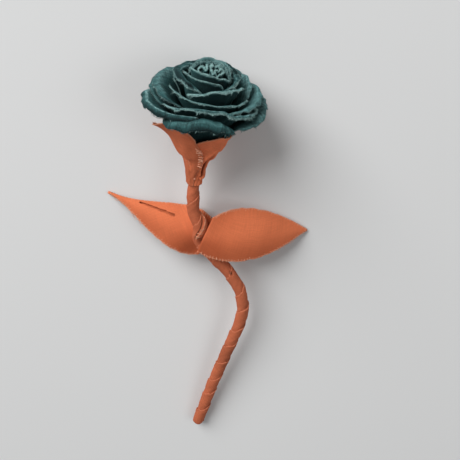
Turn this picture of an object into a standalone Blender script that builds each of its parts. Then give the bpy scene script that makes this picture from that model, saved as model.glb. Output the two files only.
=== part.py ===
"""Fabric rose: a linen flower, calyx and two leaves on a cloth-wrapped wire stem, lying on its back.

The rose is designed standing up, x to the right, y to the back and z up, and one empty lays it down.
All design lengths are millimetres, and MM turns them into metres. Angles are degrees.
"""

from collections import namedtuple

import bpy
import bmesh
import numpy as np
from mathutils import Matrix, Vector

MM = 0.001

# Cloth and gaps
CLOTH = 0.5
SEAT_GAP = 0.3

# How the standing rose is laid on its back
LIE_BACK = -85.6
LIE_OFFSET = (11.535, -110.525, 6.89)

# Stem: centre line from the cut foot up to the flower, and its wire and wrapping
STEM_LINE = [
    (-19.0, 3.5, 3.0), (-10.0, 2.2, 31.0), (-1.5, 1.0, 54.5), (5.0, 0.2, 72.5), (6.9, -0.4, 83.5),
    (4.8, -0.4, 95.0), (-1.5, -0.2, 106.0), (-9.5, 0.0, 115.0), (-15.9, 0.0, 123.5), (-15.8, 0.0, 131.0),
    (-18.4, 0.0, 140.0), (-18.7, -0.2, 149.0), (-17.5, 0.0, 157.4), (-16.6, 1.0, 165.0),
]
FLOWER_BASE = (-15.5, 0.0, 172.5)
FLOWER_TOP = (-8.2, -11.5, 214.5)
WIRE_RADIUS = 1.25
WIRE_INTO_FLOWER = 5.0
WIRE_SIDES = 8
WIRE_STATIONS = 46
WRAP_LOW = 2.85
WRAP_HIGH = 3.3
WRAP_PITCH = 12.0
WRAP_SIDES = 12
# Rows of one turn of the strip: share of the pitch, share of the thickening
WRAP_ROWS = ((0.0, 0.0), (0.5, 0.35), (0.94, 1.0))
WRAP_BORE_RADIUS = 1.65
WRAP_BORE_STATIONS = 40
WRAP_FOOT_BAND = 2.0
WRAP_WELD = 0.02
WRAP_SHORT_OF_FLOWER = 2.0
WRAP_TAPER = 0.6
WRAP_TAPER_START = 29.0
WRAP_TAPER_END = 22.0
FOOT_SLANT = 18.0

# Flower: petals are layers counted outwards from the bud
BUD_BASE_RADIUS = 3.3
LAYER_STEP = 0.8
BASE_HEIGHT = 7.0
BASE_DROP = 0.5
DOME_TOP = 45.0
DOME_DROP = 18.0
DOME_RADIUS = 30.0
DOME_POWER = 1.7
RIM_SPARE = 1.25
RIM_EASE = 0.35
RIM_FREE = 2.5
RIM_RUN_ON = 1.25
# Angle over which the cloth outside a petal settles back past its sides, less for each layer outwards
SETTLE_ANGLE = 30.0
SETTLE_STEP = 0.6
# Lean of a petal's profile from upright at its foot and its crest, and more for each millimetre of rim
FOOT_LEAN = (4.0, 0.4)
CREST_LEAN = (-16.0, 3.0)
FOOT_PULL = 0.42
CREST_PULL = 0.34
LIP_SHARE = 0.16
LIP_CURVE = 1.25
LIP_NARROWING = 0.8
LIP_NARROWING_POWER = 2.5
PETAL_FOOT_WIDTH = 0.7
SHOULDER_POWER = 3.5
PETAL_COLUMNS = 9
PETAL_ROWS = (0.0, 0.22, 0.45, 0.66, 0.84, 0.93, 1.0)

# Each petal: name, middle angle, half span, rim radius at its left, middle and right, rim raised by,
# lip reach, lip turn, the share of height lost at its left and right sides, how far its rim is tucked in
# under the rims inside it, and how much its right end is raised and its left end lowered
Petal = namedtuple("Petal", "name middle half rim raised lip turn lose_left lose_right tuck tilt")
PETALS = [Petal(*values) for values in [
    ("petal_bud_left", 262, 90, (10.2, 6.8, 8.8), 1.6, 0.6, 60, 0.04, 0.06, 0.0, -1.6),
    ("petal_bud_back", 85, 82, (7.2, 6.8, 7.2), 1.0, 0.6, 50, 0.08, 0.08, 0.0, 0.0),
    ("petal_bud_front", 236, 76, (12.4, 8.8, 9.4), 0.3, 0.8, 60, 0.04, 0.10, 0.0, 0.3),
    ("petal_hood", 78, 70, (9.6, 9.0, 11.0), 1.9, 1.0, 60, 0.10, 0.10, 0.0, 0.6),
    ("petal_inner_right", 350, 62, (11.4, 11.4, 12.5), 0.0, 1.4, 90, 0.10, 0.12, 0.0, 0.0),
    ("petal_folded_left", 190, 64, (16.0, 13.0, 13.6), 1.0, 3.4, 150, 0.05, 0.05, 0.0, 0.0),
    ("petal_front_band", 292, 60, (16.6, 13.4, 16.0), 1.6, 1.8, 100, 0.05, 0.06, 0.0, 0.0),
    ("petal_inner_back", 82, 60, (15.0, 13.6, 15.5), 1.5, 1.6, 90, 0.12, 0.12, 0.0, 0.0),
    ("petal_front_middle", 270, 76, (19.6, 18.6, 19.4), 0.8, 0.9, 70, 0.04, 0.06, 0.0, -1.0),
    ("petal_right_small", 36, 44, (19.4, 18.6, 18.6), 1.2, 1.8, 100, 0.10, 0.10, 0.0, 0.0),
    ("petal_middle_back", 108, 54, (18.6, 18.6, 19.6), 1.0, 1.8, 90, 0.12, 0.12, 0.0, 0.0),
    ("petal_left_face", 176, 58, (23.2, 22.6, 22.4), 1.2, 2.6, 80, 0.08, 0.08, 0.0, 0.0),
    ("petal_right_middle", 356, 56, (22.0, 22.6, 22.8), 1.6, 2.0, 90, 0.08, 0.12, 0.8, 0.0),
    ("petal_front_outer", 278, 64, (25.6, 21.6, 25.2), 2.2, 1.8, 100, 0.07, 0.07, 0.0, 0.0),
    ("petal_outer_back", 74, 56, (23.4, 23.4, 23.8), 1.3, 2.0, 90, 0.12, 0.14, 0.0, 0.0),
    ("petal_left_outer", 156, 50, (26.0, 26.0, 26.0), 0.9, 1.2, 70, 0.12, 0.12, 0.8, 0.0),
    ("petal_left_band", 212, 46, (29.4, 27.6, 24.8), 1.2, 3.0, 110, 0.08, 0.06, 0.4, 1.0),
    ("petal_lower_front", 263, 47, (25.0, 20.0, 22.0), -5.7, 8.4, 95, 0.12, 0.14, 5.8, -1.7),
    ("petal_right_outer", 352, 40, (25.2, 26.2, 29.0), -0.8, 2.2, 90, 0.10, 0.12, 1.4, 3.0),
    ("petal_back_right", 52, 44, (26.0, 25.6, 26.4), 0.0, 2.0, 90, 0.15, 0.15, 2.0, 0.0),
    ("petal_back_left", 118, 44, (29.5, 29.2, 28.6), 0.0, 2.0, 90, 0.15, 0.15, 0.0, 0.0),
]]

# Centre roll: one strip wound up inside the bud
ROLL_TURNS = 2.6
ROLL_STEPS_PER_TURN = 15
ROLL_START_ANGLE = 200.0
ROLL_FOOT_RADII = (0.5, 2.55)
ROLL_HEAD_RADII = (0.8, 5.5)
ROLL_FOOT_HEIGHT = 8.0
ROLL_HEAD_HEIGHT = 44.8
ROLL_ROWS = (0.0, 0.35, 0.7, 1.0)
ROLL_OPENING = 1.2

# Calyx: one wrapped cloth funnel, its left end over its right end at the front
CALYX_START = 240.0
CALYX_SPAN = 396.0
CALYX_COLUMNS = 45
CALYX_ROWS = (0.0, 0.18, 0.36, 0.5, 0.66, 0.84, 1.0)
CALYX_FOOT_HEIGHT = -16.0
CALYX_FOOT_RADIUS = 3.45
CALYX_LAP = 0.85
CALYX_FLARE = 1.35
CALYX_NECK_SHARE = 0.5
CALYX_NOTCH = 0.25
# Room between the outermost petals and the calyx, in layers, and how far the end that laps over stands off
CALYX_ROOM = 0.7
CALYX_LAP_LAYERS = 0.935
CALYX_LAP_RIM = 1.5
SEPAL_POINT = 1.4
SEPAL_SIDE = 1.1
# Each sepal: middle angle, half width, share of the petal's profile that it climbs
SEPALS = [(226, 36, 0.72), (302, 56, 0.47), (30, 44, 0.36), (122, 50, 0.40)]
# Edge of the end that laps over: degrees that it runs on at its foot, where it is widest, and at its top
SEAM = (-14.0, 8.0, -18.0)
SEAM_WIDEST = 0.35
SEAM_POWER = 6.0
# The left sepal stands off the petals: middle angle, half width, distance, and where that starts and ends
STAND_OFF = (194.0, 60.0, 2.2)
STAND_OFF_FROM = 0.2
STAND_OFF_TO = 0.8
# How far its tip curls out and up, from which share of the height on, and how narrow the curl is
TIP_CURL = (3.5, -1.5)
TIP_CURL_FROM = 0.75
TIP_CURL_POWER = 3.0

# Leaves: base, tip, direction towards the upper edge at the base and beyond, half width at the base above
# and below, belly above and below, fineness of the tip, slant of the base, arch and cup of the face
LEAF_HALF_GAP = (CLOTH + SEAT_GAP) / 2
LEAF_PUFF_FRONT = 1.3
LEAF_PUFF_BACK = 0.8
LEAF_TIP_HALF = 0.5
LEAF_CUP_HALF = 13.0
LEAF_PUFF_POWER = 0.7
LEAF_TWIST_END = 0.35
LEAF_ROWS = 13
LEAF_COLUMNS = 7
LEAVES = {
    "leaf_right": dict(
        base=(-12.9, -4.9, 128.7), tip=(41.2, 15.5, 122.2), across_base=(0.02, 0.30, 0.92),
        across=(0.02, 0.43, 0.90), base_half=(9.0, 8.0), belly=(33.0, 48.0), fine=(1.1, 1.3),
        slant=0.5, arch=2.0, cup=2.0),
    "leaf_left": dict(
        base=(-12.2, 4.9, 122.9), tip=(-64.3, 17.1, 143.4), across_base=(0.25, 0.10, 0.92),
        across=(0.25, 0.60, 0.70), base_half=(10.1, 10.4), belly=(52.0, 45.0), fine=(2.4, 1.8),
        slant=0.0, arch=1.5, cup=1.5),
}
SLIT_FROM = (20.0, 2.9)
SLIT_TO = (39.5, 1.6)
SLIT_WIDTH = 1.0
SLIT_BLADE_DEPTH = 5.0
SLIT_BLADE_HEIGHT = 4.0

# Colours and finish
COLOURS = {
    "petal_linen": ((0.022, 0.110, 0.108), 0.88, 0.0),
    "leaf_linen": ((0.56, 0.145, 0.060), 0.88, 0.0),
    "stem_linen": ((0.42, 0.110, 0.050), 0.88, 0.0),
    "wire": ((0.45, 0.45, 0.44), 0.35, 1.0),
}


def clear_scene():
    for item in list(bpy.data.objects):
        bpy.data.objects.remove(item, do_unlink=True)


def make_materials():
    made = {}
    for name, (colour, roughness, metallic) in COLOURS.items():
        material = bpy.data.materials.new(name)
        material.use_nodes = True
        shader = material.node_tree.nodes["Principled BSDF"]
        shader.inputs["Base Color"].default_value = (*colour, 1.0)
        shader.inputs["Roughness"].default_value = roughness
        shader.inputs["Metallic"].default_value = metallic
        made[name] = material
    return made


def unit(vector):
    vector = np.asarray(vector, float)
    return vector / np.linalg.norm(vector)


def smooth(x):
    x = np.clip(x, 0.0, 1.0)
    return x * x * (3.0 - 2.0 * x)


def mesh_object(name, points, faces, material, parent):
    """Make an object from points in millimetres, shaded smooth, under a parent."""
    mesh = bpy.data.meshes.new(name)
    mesh.from_pydata([tuple(float(c) * MM for c in p) for p in points], [], faces)
    mesh.validate()
    mesh.materials.append(material)
    mesh.shade_smooth()
    item = bpy.data.objects.new(name, mesh)
    bpy.context.collection.objects.link(item)
    item.parent = parent
    return item


def grid_faces(columns, rows):
    """Quads of a sheet whose points run up one column after another."""
    faces = []
    for i in range(columns - 1):
        for j in range(rows - 1):
            a, b = i * rows + j, (i + 1) * rows + j
            faces.append((a, b, b + 1, a + 1))
    return faces


def add_thickness(item):
    """Turn a sheet into cloth with half its thickness on each side."""
    solid = item.modifiers.new("cloth", "SOLIDIFY")
    solid.thickness = CLOTH * MM
    solid.offset = 0.0


def empty(name, parent=None):
    item = bpy.data.objects.new(name, None)
    item.empty_display_size = 10.0 * MM
    bpy.context.collection.objects.link(item)
    item.parent = parent
    return item


def flower_axes():
    """Directions of the flower's right, back and axis in the standing rose."""
    up = unit(np.subtract(FLOWER_TOP, FLOWER_BASE))
    right = unit(np.array([1.0, 0.0, 0.0]) - up[0] * up)
    back = np.cross(up, right)
    return right, back, up


def place(item, origin, x_axis, y_axis, z_axis):
    """Set an object's own frame by its origin in millimetres and its three axes."""
    columns = Matrix((x_axis, y_axis, z_axis)).transposed()
    item.matrix_local = Matrix.Translation(Vector(origin) * MM) @ columns.to_4x4()


# Stem

def stem_curve():
    """Centre line from the foot to the wire's end in the flower, about one point each millimetre."""
    up = flower_axes()[2]
    base = np.array(FLOWER_BASE)
    keys = [np.array(p, float) for p in STEM_LINE] + [base, base + up * WIRE_INTO_FLOWER]
    before_first = 2 * keys[0] - keys[1]
    past_last = 2 * keys[-1] - keys[-2]
    keys = [before_first] + keys + [past_last]
    dense = []
    for a, b, c, d in zip(keys, keys[1:], keys[2:], keys[3:]):
        for t in np.linspace(0.0, 1.0, 40, endpoint=False):
            dense.append(0.5 * (2 * b + (c - a) * t + (2 * a - 5 * b + 4 * c - d) * t ** 2
                                + (3 * b - 3 * c + d - a) * t ** 3))
    dense.append(keys[-2])
    dense = np.array(dense)
    run = np.concatenate([[0.0], np.cumsum(np.linalg.norm(np.diff(dense, axis=0), axis=1))])
    even = np.linspace(0.0, run[-1], int(round(run[-1])) + 1)
    return even, np.stack([np.interp(even, run, dense[:, k]) for k in range(3)], axis=1)


class StemFrames:
    """Position and ring directions at any length along the stem."""

    def __init__(self):
        self.run, self.line = stem_curve()
        self.tangent = np.gradient(self.line, self.run, axis=0)
        self.length = self.run[-1]

    def at(self, s):
        s = np.clip(s, 0.0, self.length)
        centre = np.array([np.interp(s, self.run, self.line[:, k]) for k in range(3)])
        along = unit([np.interp(s, self.run, self.tangent[:, k]) for k in range(3)])
        side = unit(np.cross([0.0, 1.0, 0.0], along))
        return centre, along, side, np.cross(along, side)

    def ring(self, s, radius, turn, slant=0.0):
        """Point of a ring at angle turn (radians); a slant tilts the ring's plane."""
        centre, along, side, front = self.at(s)
        out = radius * (np.cos(turn) * side + np.sin(turn) * front)
        return centre + out + along * radius * np.cos(turn) * np.tan(np.radians(slant))


def build_wire(frames, material, parent):
    """Bendable wire through the whole stem, cut flush with the foot."""
    sides = WIRE_SIDES
    stations = np.linspace(0.0, frames.length, WIRE_STATIONS)
    points, faces = [], []
    for k, s in enumerate(stations):
        slant = FOOT_SLANT if k == 0 else 0.0
        points += [frames.ring(s, WIRE_RADIUS, 2 * np.pi * i / sides, slant) for i in range(sides)]
    for k in range(len(stations) - 1):
        for i in range(sides):
            j = (i + 1) % sides
            faces.append((k * sides + i, k * sides + j, (k + 1) * sides + j, (k + 1) * sides + i))
    faces.append(tuple(range(sides))[::-1])
    faces.append(tuple((len(stations) - 1) * sides + i for i in range(sides)))
    wire = mesh_object("stem_wire", points, faces, material, parent)
    wire.data.set_sharp_from_angle(angle=np.radians(50))


def wrap_radius(share, from_top):
    """Radius of the wrapping: it thickens across each turn and thins under the calyx."""
    thin = WRAP_TAPER * smooth((WRAP_TAPER_START - from_top) / (WRAP_TAPER_START - WRAP_TAPER_END))
    return WRAP_LOW + (WRAP_HIGH - WRAP_LOW) * share - thin


def wrap_point(frames, s, rise, turn, end):
    """Point of the wrapping's outside: flat at the slanted foot, level at its top end."""
    if s <= WRAP_FOOT_BAND:
        return frames.ring(0.0, WRAP_HIGH, turn, FOOT_SLANT)
    if s >= end:
        return frames.ring(end, wrap_radius(0.0, frames.length - end), turn)
    return frames.ring(s, wrap_radius(rise, frames.length - s), turn)


def build_wrap(frames, material, parent):
    """Cloth strip wound up the wire: a stepped helix outside and a plain bore inside."""
    sides = WRAP_SIDES
    end = frames.length - WIRE_INTO_FLOWER - WRAP_SHORT_OF_FLOWER
    turns = int(np.ceil(end / WRAP_PITCH)) + 2
    shell = bmesh.new()
    grid = {}
    for m in range(-sides, turns * sides):
        turn = 2 * np.pi * m / sides
        for r, (share, rise) in enumerate(WRAP_ROWS):
            s = (m / sides + share) * WRAP_PITCH
            grid[m, r] = shell.verts.new(Vector(wrap_point(frames, s, rise, turn, end)) * MM)
    for m in range(-sides, (turns - 1) * sides - 1):
        for r in range(len(WRAP_ROWS)):
            above = (m + sides, 0) if r == len(WRAP_ROWS) - 1 else (m, r + 1)
            above_next = (above[0] + 1, above[1])
            shell.faces.new((grid[m, r], grid[m + 1, r], grid[above_next], grid[above]))
    bmesh.ops.remove_doubles(shell, verts=shell.verts[:], dist=WRAP_WELD * MM)
    loose = [v for v in shell.verts if not v.link_faces]
    bmesh.ops.delete(shell, geom=loose, context="VERTS")
    outer_rims = boundary_loops(shell)
    rings = build_bore(shell, frames, end)
    join_rims(shell, outer_rims, rings[0], frames.ring(0.0, 0.0, 0.0))
    join_rims(shell, outer_rims, rings[-1], frames.ring(end, 0.0, 0.0))
    bmesh.ops.recalc_face_normals(shell, faces=shell.faces[:])
    mesh = bpy.data.meshes.new("stem_wrap")
    shell.to_mesh(mesh)
    shell.free()
    mesh.materials.append(material)
    mesh.shade_smooth()
    mesh.set_sharp_from_angle(angle=np.radians(50))
    wrap = bpy.data.objects.new("stem_wrap", mesh)
    bpy.context.collection.objects.link(wrap)
    wrap.parent = parent


def build_bore(shell, frames, end):
    """Wall of the wrapping's bore round the wire, as its list of rings."""
    rings = []
    for k, s in enumerate(np.linspace(0.0, end, WRAP_BORE_STATIONS)):
        slant = FOOT_SLANT if k == 0 else 0.0
        turns = [2 * np.pi * i / WRAP_SIDES for i in range(WRAP_SIDES)]
        rings.append([shell.verts.new(Vector(frames.ring(s, WRAP_BORE_RADIUS, turn, slant)) * MM)
                      for turn in turns])
    for low, high in zip(rings, rings[1:]):
        for i in range(WRAP_SIDES):
            j = (i + 1) % WRAP_SIDES
            shell.faces.new((low[i], high[i], high[j], low[j]))
    return rings


def boundary_loops(shell):
    """Edges of each open rim, as one list for each rim."""
    left = {e for e in shell.edges if e.is_boundary}
    loops = []
    while left:
        edge = left.pop()
        loop, front = [edge], [edge]
        while front:
            current = front.pop()
            for vert in current.verts:
                for other in vert.link_edges:
                    if other in left:
                        left.remove(other)
                        loop.append(other)
                        front.append(other)
        loops.append(loop)
    return loops


def join_rims(shell, loops, ring, near):
    """Close one end of the tube between its outer rim and the bore's ring."""
    near = Vector(near) * MM
    outer = min(loops, key=lambda loop: sum((e.verts[0].co - near).length for e in loop) / len(loop))
    inner = [shell.edges.get((ring[i], ring[(i + 1) % len(ring)])) for i in range(len(ring))]
    bmesh.ops.bridge_loops(shell, edges=outer + inner)


# Flower

def angle_gap(theta, middle):
    return (theta - middle + 180.0) % 360.0 - 180.0


def cover(k, theta):
    """How far petal k pushes out what lies outside it: 1 over the petal, 0 well past its sides."""
    past_side = np.abs(angle_gap(theta, PETALS[k].middle)) - PETALS[k].half
    return 1.0 - smooth(past_side / (SETTLE_ANGLE - SETTLE_STEP * k))


def layer_of(k, theta):
    """Number of petals inside petal k at each angle."""
    layer = np.zeros_like(theta)
    for i in range(k):
        layer = layer + cover(i, theta)
    return layer


def drawn_radius(k, theta):
    """Rim radius as drawn: a parabola through the petal's left, middle and right radius."""
    left, centre, right = PETALS[k].rim
    x = np.clip(angle_gap(theta, PETALS[k].middle) / PETALS[k].half, -RIM_RUN_ON, RIM_RUN_ON)
    return centre + (right - left) / 2 * x + ((left + right) / 2 - centre) * x * x


def lip_at(k, theta):
    """Reach of petal k's curled lip: widest in its middle, narrow at its sides."""
    x = np.clip(np.abs(angle_gap(theta, PETALS[k].middle)) / PETALS[k].half, 0, 1)
    return PETALS[k].lip * (1 - LIP_NARROWING * x ** LIP_NARROWING_POWER)


def rim_radius(k, theta):
    """Rim radius of petal k (or of the calyx past the last), eased out past the petals inside it."""
    radii = []
    for j in range(k + 1):
        radius = drawn_radius(j, theta) if j < len(PETALS) else np.zeros_like(theta)
        tuck = PETALS[j].tuck if j < len(PETALS) else 0.0
        for i in range(j):
            covered = cover(i, theta)
            need = radii[i] + (lip_at(i, theta) + RIM_SPARE) * covered - RIM_FREE * (1 - covered) - tuck
            radius = radius + RIM_EASE * np.logaddexp(0, (need - radius) / RIM_EASE)
        radii.append(radius)
    return radii[k]


def profile(layer, rim, raised, tuck, t):
    """Radius, height and direction of a petal's profile at t from its base to its crest."""
    foot_r = BUD_BASE_RADIUS + LAYER_STEP * layer
    foot_z = BASE_HEIGHT - BASE_DROP * layer
    crest_z = DOME_TOP - DOME_DROP * (rim / DOME_RADIUS) ** DOME_POWER + raised
    foot_angle = np.radians(FOOT_LEAN[0] + FOOT_LEAN[1] * (rim + tuck))
    crest_angle = np.radians(CREST_LEAN[0] + CREST_LEAN[1] * rim)
    reach = np.hypot(rim - foot_r, crest_z - foot_z)
    r1 = foot_r + FOOT_PULL * reach * np.sin(foot_angle)
    z1 = foot_z + FOOT_PULL * reach * np.cos(foot_angle)
    r2 = rim - CREST_PULL * reach * np.sin(crest_angle)
    z2 = crest_z - CREST_PULL * reach * np.cos(crest_angle)
    q = 1 - t
    r = q ** 3 * foot_r + 3 * t * q * q * r1 + 3 * t * t * q * r2 + t ** 3 * rim
    z = q ** 3 * foot_z + 3 * t * q * q * z1 + 3 * t * t * q * z2 + t ** 3 * crest_z
    dr = q * q * (r1 - foot_r) + 2 * t * q * (r2 - r1) + t * t * (rim - r2)
    dz = q * q * (z1 - foot_z) + 2 * t * q * (z2 - z1) + t * t * (crest_z - z2)
    return r, z, np.arctan2(dr, dz)


def petal_points(k, s, v):
    """Points of petal k: s runs from -1 to 1 across it, v from 0 at its base to 1 at its curled edge."""
    petal = PETALS[k]
    s, v = np.broadcast_arrays(s, v)
    width = PETAL_FOOT_WIDTH + (1 - PETAL_FOOT_WIDTH) * smooth(v / 0.5)
    theta = petal.middle + petal.half * s * width
    lose = np.where(s < 0, petal.lose_left, petal.lose_right)
    top = 1 - lose * np.abs(s) ** SHOULDER_POWER
    body = 1 - LIP_SHARE
    t = np.minimum(v / body, 1.0) * top
    raised = petal.raised + petal.tilt * s
    r, z, angle = profile(layer_of(k, theta), rim_radius(k, theta), raised, petal.tuck, t)
    bend = np.radians(petal.turn)
    curl = bend * np.clip((v - body) / LIP_SHARE, 0, 1)
    curl_radius = LIP_CURVE * lip_at(k, theta) / bend
    along = curl_radius * np.sin(curl)
    out = curl_radius * (1 - np.cos(curl))
    r = r + along * np.sin(angle) + out * np.cos(angle)
    z = z + along * np.cos(angle) - out * np.sin(angle)
    theta = np.radians(theta)
    return np.stack([r * np.cos(theta), r * np.sin(theta), z], axis=-1)


def build_petal(k, material, parent):
    s = np.linspace(-1.0, 1.0, PETAL_COLUMNS)[:, None]
    v = np.array(PETAL_ROWS)[None, :]
    points = petal_points(k, s, v).reshape(-1, 3)
    faces = grid_faces(PETAL_COLUMNS, len(PETAL_ROWS))
    add_thickness(mesh_object(PETALS[k].name, points, faces, material, parent))


def build_centre_roll(material, parent):
    """Strip rolled up inside the bud, opening into a cone towards its top."""
    columns = int(round(ROLL_TURNS * ROLL_STEPS_PER_TURN)) + 1
    points = []
    for i in range(columns):
        share = i / (columns - 1)
        theta = np.radians(ROLL_START_ANGLE + 360.0 * ROLL_TURNS * share)
        for v in ROLL_ROWS:
            foot = np.interp(share, (0, 1), ROLL_FOOT_RADII)
            head = np.interp(share, (0, 1), ROLL_HEAD_RADII)
            radius = foot + (head - foot) * v ** ROLL_OPENING
            height = ROLL_FOOT_HEIGHT + (ROLL_HEAD_HEIGHT - ROLL_FOOT_HEIGHT) * v
            points.append((radius * np.cos(theta), radius * np.sin(theta), height))
    faces = grid_faces(columns, len(ROLL_ROWS))
    add_thickness(mesh_object("centre_roll", points, faces, material, parent))


# Calyx

def sepal_top(theta):
    """Share of the petals' profile that the calyx climbs at each angle, pointed at each sepal."""
    top = np.full_like(theta, CALYX_NOTCH)
    for middle, half, height in SEPALS:
        x = np.clip(np.abs(angle_gap(theta, middle)) / half, 0, 1)
        rise = (1 - x ** SEPAL_POINT) ** SEPAL_SIDE
        top = np.maximum(top, CALYX_NOTCH + (height - CALYX_NOTCH) * rise)
    return top


def calyx_points(share, v):
    """Points of the calyx: share runs round it, v from its foot on the stem to its top edge."""
    share, v = np.broadcast_arrays(share, v)
    run_on = share ** SEAM_POWER
    widest = SEAM[0] + (SEAM[1] - SEAM[0]) * smooth(v / SEAM_WIDEST)
    seam = widest + (SEAM[2] - SEAM[1]) * smooth((v - SEAM_WIDEST) / (1 - SEAM_WIDEST))
    straight = CALYX_START + CALYX_SPAN * share
    theta = straight + seam * run_on
    at_top = straight + SEAM[2] * run_on
    count = len(PETALS)
    layer = layer_of(count, theta) + CALYX_ROOM + CALYX_LAP_LAYERS * share
    rim = rim_radius(count, theta) + CALYX_LAP_RIM * share
    climb = np.clip((v - CALYX_NECK_SHARE) / (1 - CALYX_NECK_SHARE), 0, 1) * sepal_top(at_top)
    r, z, _ = profile(layer, rim, 0.0, 0.0, climb)
    neck = np.clip(v / CALYX_NECK_SHARE, 0, 1)
    foot_radius = CALYX_FOOT_RADIUS + CALYX_LAP * share
    neck_r = foot_radius + (r - foot_radius) * neck ** CALYX_FLARE
    neck_z = CALYX_FOOT_HEIGHT + (z - CALYX_FOOT_HEIGHT) * neck
    below = v < CALYX_NECK_SHARE
    r = np.where(below, neck_r, r)
    z = np.where(below, neck_z, z)
    away = smooth(1 - np.abs(angle_gap(theta, STAND_OFF[0])) / STAND_OFF[1])
    stand = smooth((v - STAND_OFF_FROM) / (STAND_OFF_TO - STAND_OFF_FROM)) * away
    curl = smooth((v - TIP_CURL_FROM) / (1 - TIP_CURL_FROM)) * away ** TIP_CURL_POWER
    r = r + STAND_OFF[2] * stand + TIP_CURL[0] * curl
    z = z + TIP_CURL[1] * curl
    bend = np.where(below, (1 - neck) ** 2, 0.0)
    shift = calyx_foot_shift()
    theta = np.radians(theta)
    return np.stack([r * np.cos(theta) + shift[0] * bend, r * np.sin(theta) + shift[1] * bend, z], axis=-1)


def calyx_foot_shift():
    """Sideways distance, in the flower's frame, from the flower's axis to the stem at the calyx foot."""
    right, back, up = flower_axes()
    foot = np.array(FLOWER_BASE) + CALYX_FOOT_HEIGHT * up
    stem = np.array(STEM_LINE[-2])
    return float((stem - foot) @ right), float((stem - foot) @ back)


def build_calyx(material, parent):
    share = np.linspace(0.0, 1.0, CALYX_COLUMNS)[:, None]
    v = np.array(CALYX_ROWS)[None, :]
    points = calyx_points(share, v).reshape(-1, 3)
    faces = grid_faces(CALYX_COLUMNS, len(CALYX_ROWS))
    add_thickness(mesh_object("calyx", points, faces, material, parent))


# Leaves

def leaf_frame(leaf):
    """Origin, length and axes of a leaf: along it, towards its upper edge, and out of its face."""
    base, tip = np.array(leaf["base"]), np.array(leaf["tip"])
    along = unit(tip - base)
    across = np.array(leaf["across"])
    across = unit(across - (across @ along) * along)
    face = np.cross(along, across)
    return base, np.linalg.norm(tip - base), along, across, face


def leaf_facing(leaf):
    """Sign of the face direction that looks to the front of the standing rose."""
    return -1.0 if leaf_frame(leaf)[4][1] > 0 else 1.0


def leaf_half_width(leaf, a, side):
    """Width of a leaf above (side 0) or below (side 1) its middle line."""
    belly = leaf["base_half"][side] + leaf["belly"][side] * a
    return belly * (1 - a) ** leaf["fine"][side] + LEAF_TIP_HALF * a


def leaf_points(leaf, a, b, front):
    """Points of a leaf layer in its own frame: a from base to tip, b from lower edge to upper edge."""
    length, along, across, face = leaf_frame(leaf)[1:]
    a, b = np.broadcast_arrays(a, b)
    y = b * np.where(b > 0, leaf_half_width(leaf, a, 0), leaf_half_width(leaf, a, 1))
    x = length * a + leaf["slant"] * y * (1 - a) ** 3
    swell = np.abs(np.sin(np.pi * a))
    puff = (1 - b * b) * swell ** LEAF_PUFF_POWER
    offset = LEAF_HALF_GAP + LEAF_PUFF_FRONT * puff if front else -LEAF_HALF_GAP - LEAF_PUFF_BACK * puff
    z = leaf_facing(leaf) * ((leaf["arch"] - leaf["cup"] * (y / LEAF_CUP_HALF) ** 2) * swell + offset)
    base_across = np.array(leaf["across_base"])
    base_across = unit(base_across - (base_across @ along) * along)
    tilt = np.arctan2(base_across @ face, base_across @ across) * (1 - smooth(a / LEAF_TWIST_END))
    return np.stack([x, y * np.cos(tilt) - z * np.sin(tilt), y * np.sin(tilt) + z * np.cos(tilt)], axis=-1)


def build_leaf_layer(name, leaf, front, material, parent):
    base, _, along, across, face = leaf_frame(leaf)
    a = np.linspace(0.0, 1.0, LEAF_ROWS)[:, None]
    b = np.linspace(-1.0, 1.0, LEAF_COLUMNS)[None, :]
    points = leaf_points(leaf, a, b, front).reshape(-1, 3)
    layer = mesh_object(name, points, grid_faces(LEAF_ROWS, LEAF_COLUMNS), material, parent)
    place(layer, base, along, across, face)
    add_thickness(layer)
    return layer


def cut_slit(layer, leaf):
    """Open the slit in a leaf's front layer with a thin upright blade."""
    start, end = np.array(SLIT_FROM), np.array(SLIT_TO)
    middle, run = (start + end) / 2, end - start
    size = Vector((np.linalg.norm(run), SLIT_WIDTH, SLIT_BLADE_DEPTH)) * MM
    mesh = bpy.data.meshes.new("slit_blade")
    blade = bmesh.new()
    bmesh.ops.create_cube(blade, size=1.0)
    bmesh.ops.scale(blade, vec=size, verts=blade.verts[:])
    blade.to_mesh(mesh)
    blade.free()
    cutter = bpy.data.objects.new("slit_blade", mesh)
    bpy.context.collection.objects.link(cutter)
    cutter.parent = layer
    cutter.location = Vector((middle[0], middle[1], leaf_facing(leaf) * SLIT_BLADE_HEIGHT)) * MM
    cutter.rotation_euler = (0.0, 0.0, np.arctan2(run[1], run[0]))
    cutter.hide_render = True
    cutter.display_type = "WIRE"
    cut = layer.modifiers.new("slit", "BOOLEAN")
    cut.operation = "DIFFERENCE"
    cut.object = cutter
    cut.solver = "EXACT"


def build_leaves(material, parent):
    for name, leaf in LEAVES.items():
        front = build_leaf_layer(name + "_front", leaf, True, material, parent)
        build_leaf_layer(name + "_back", leaf, False, material, parent)
        if name == "leaf_left":
            cut_slit(front, leaf)


def main():
    clear_scene()
    materials = make_materials()
    rose = empty("rose")
    rose.rotation_euler = (np.radians(LIE_BACK), 0.0, 0.0)
    rose.location = Vector(LIE_OFFSET) * MM
    frames = StemFrames()
    build_wire(frames, materials["wire"], rose)
    build_wrap(frames, materials["stem_linen"], rose)
    flower = empty("flower", rose)
    place(flower, FLOWER_BASE, *flower_axes())
    build_centre_roll(materials["petal_linen"], flower)
    for k in range(len(PETALS)):
        build_petal(k, materials["petal_linen"], flower)
    build_calyx(materials["stem_linen"], flower)
    build_leaves(materials["leaf_linen"], rose)


main()
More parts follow.
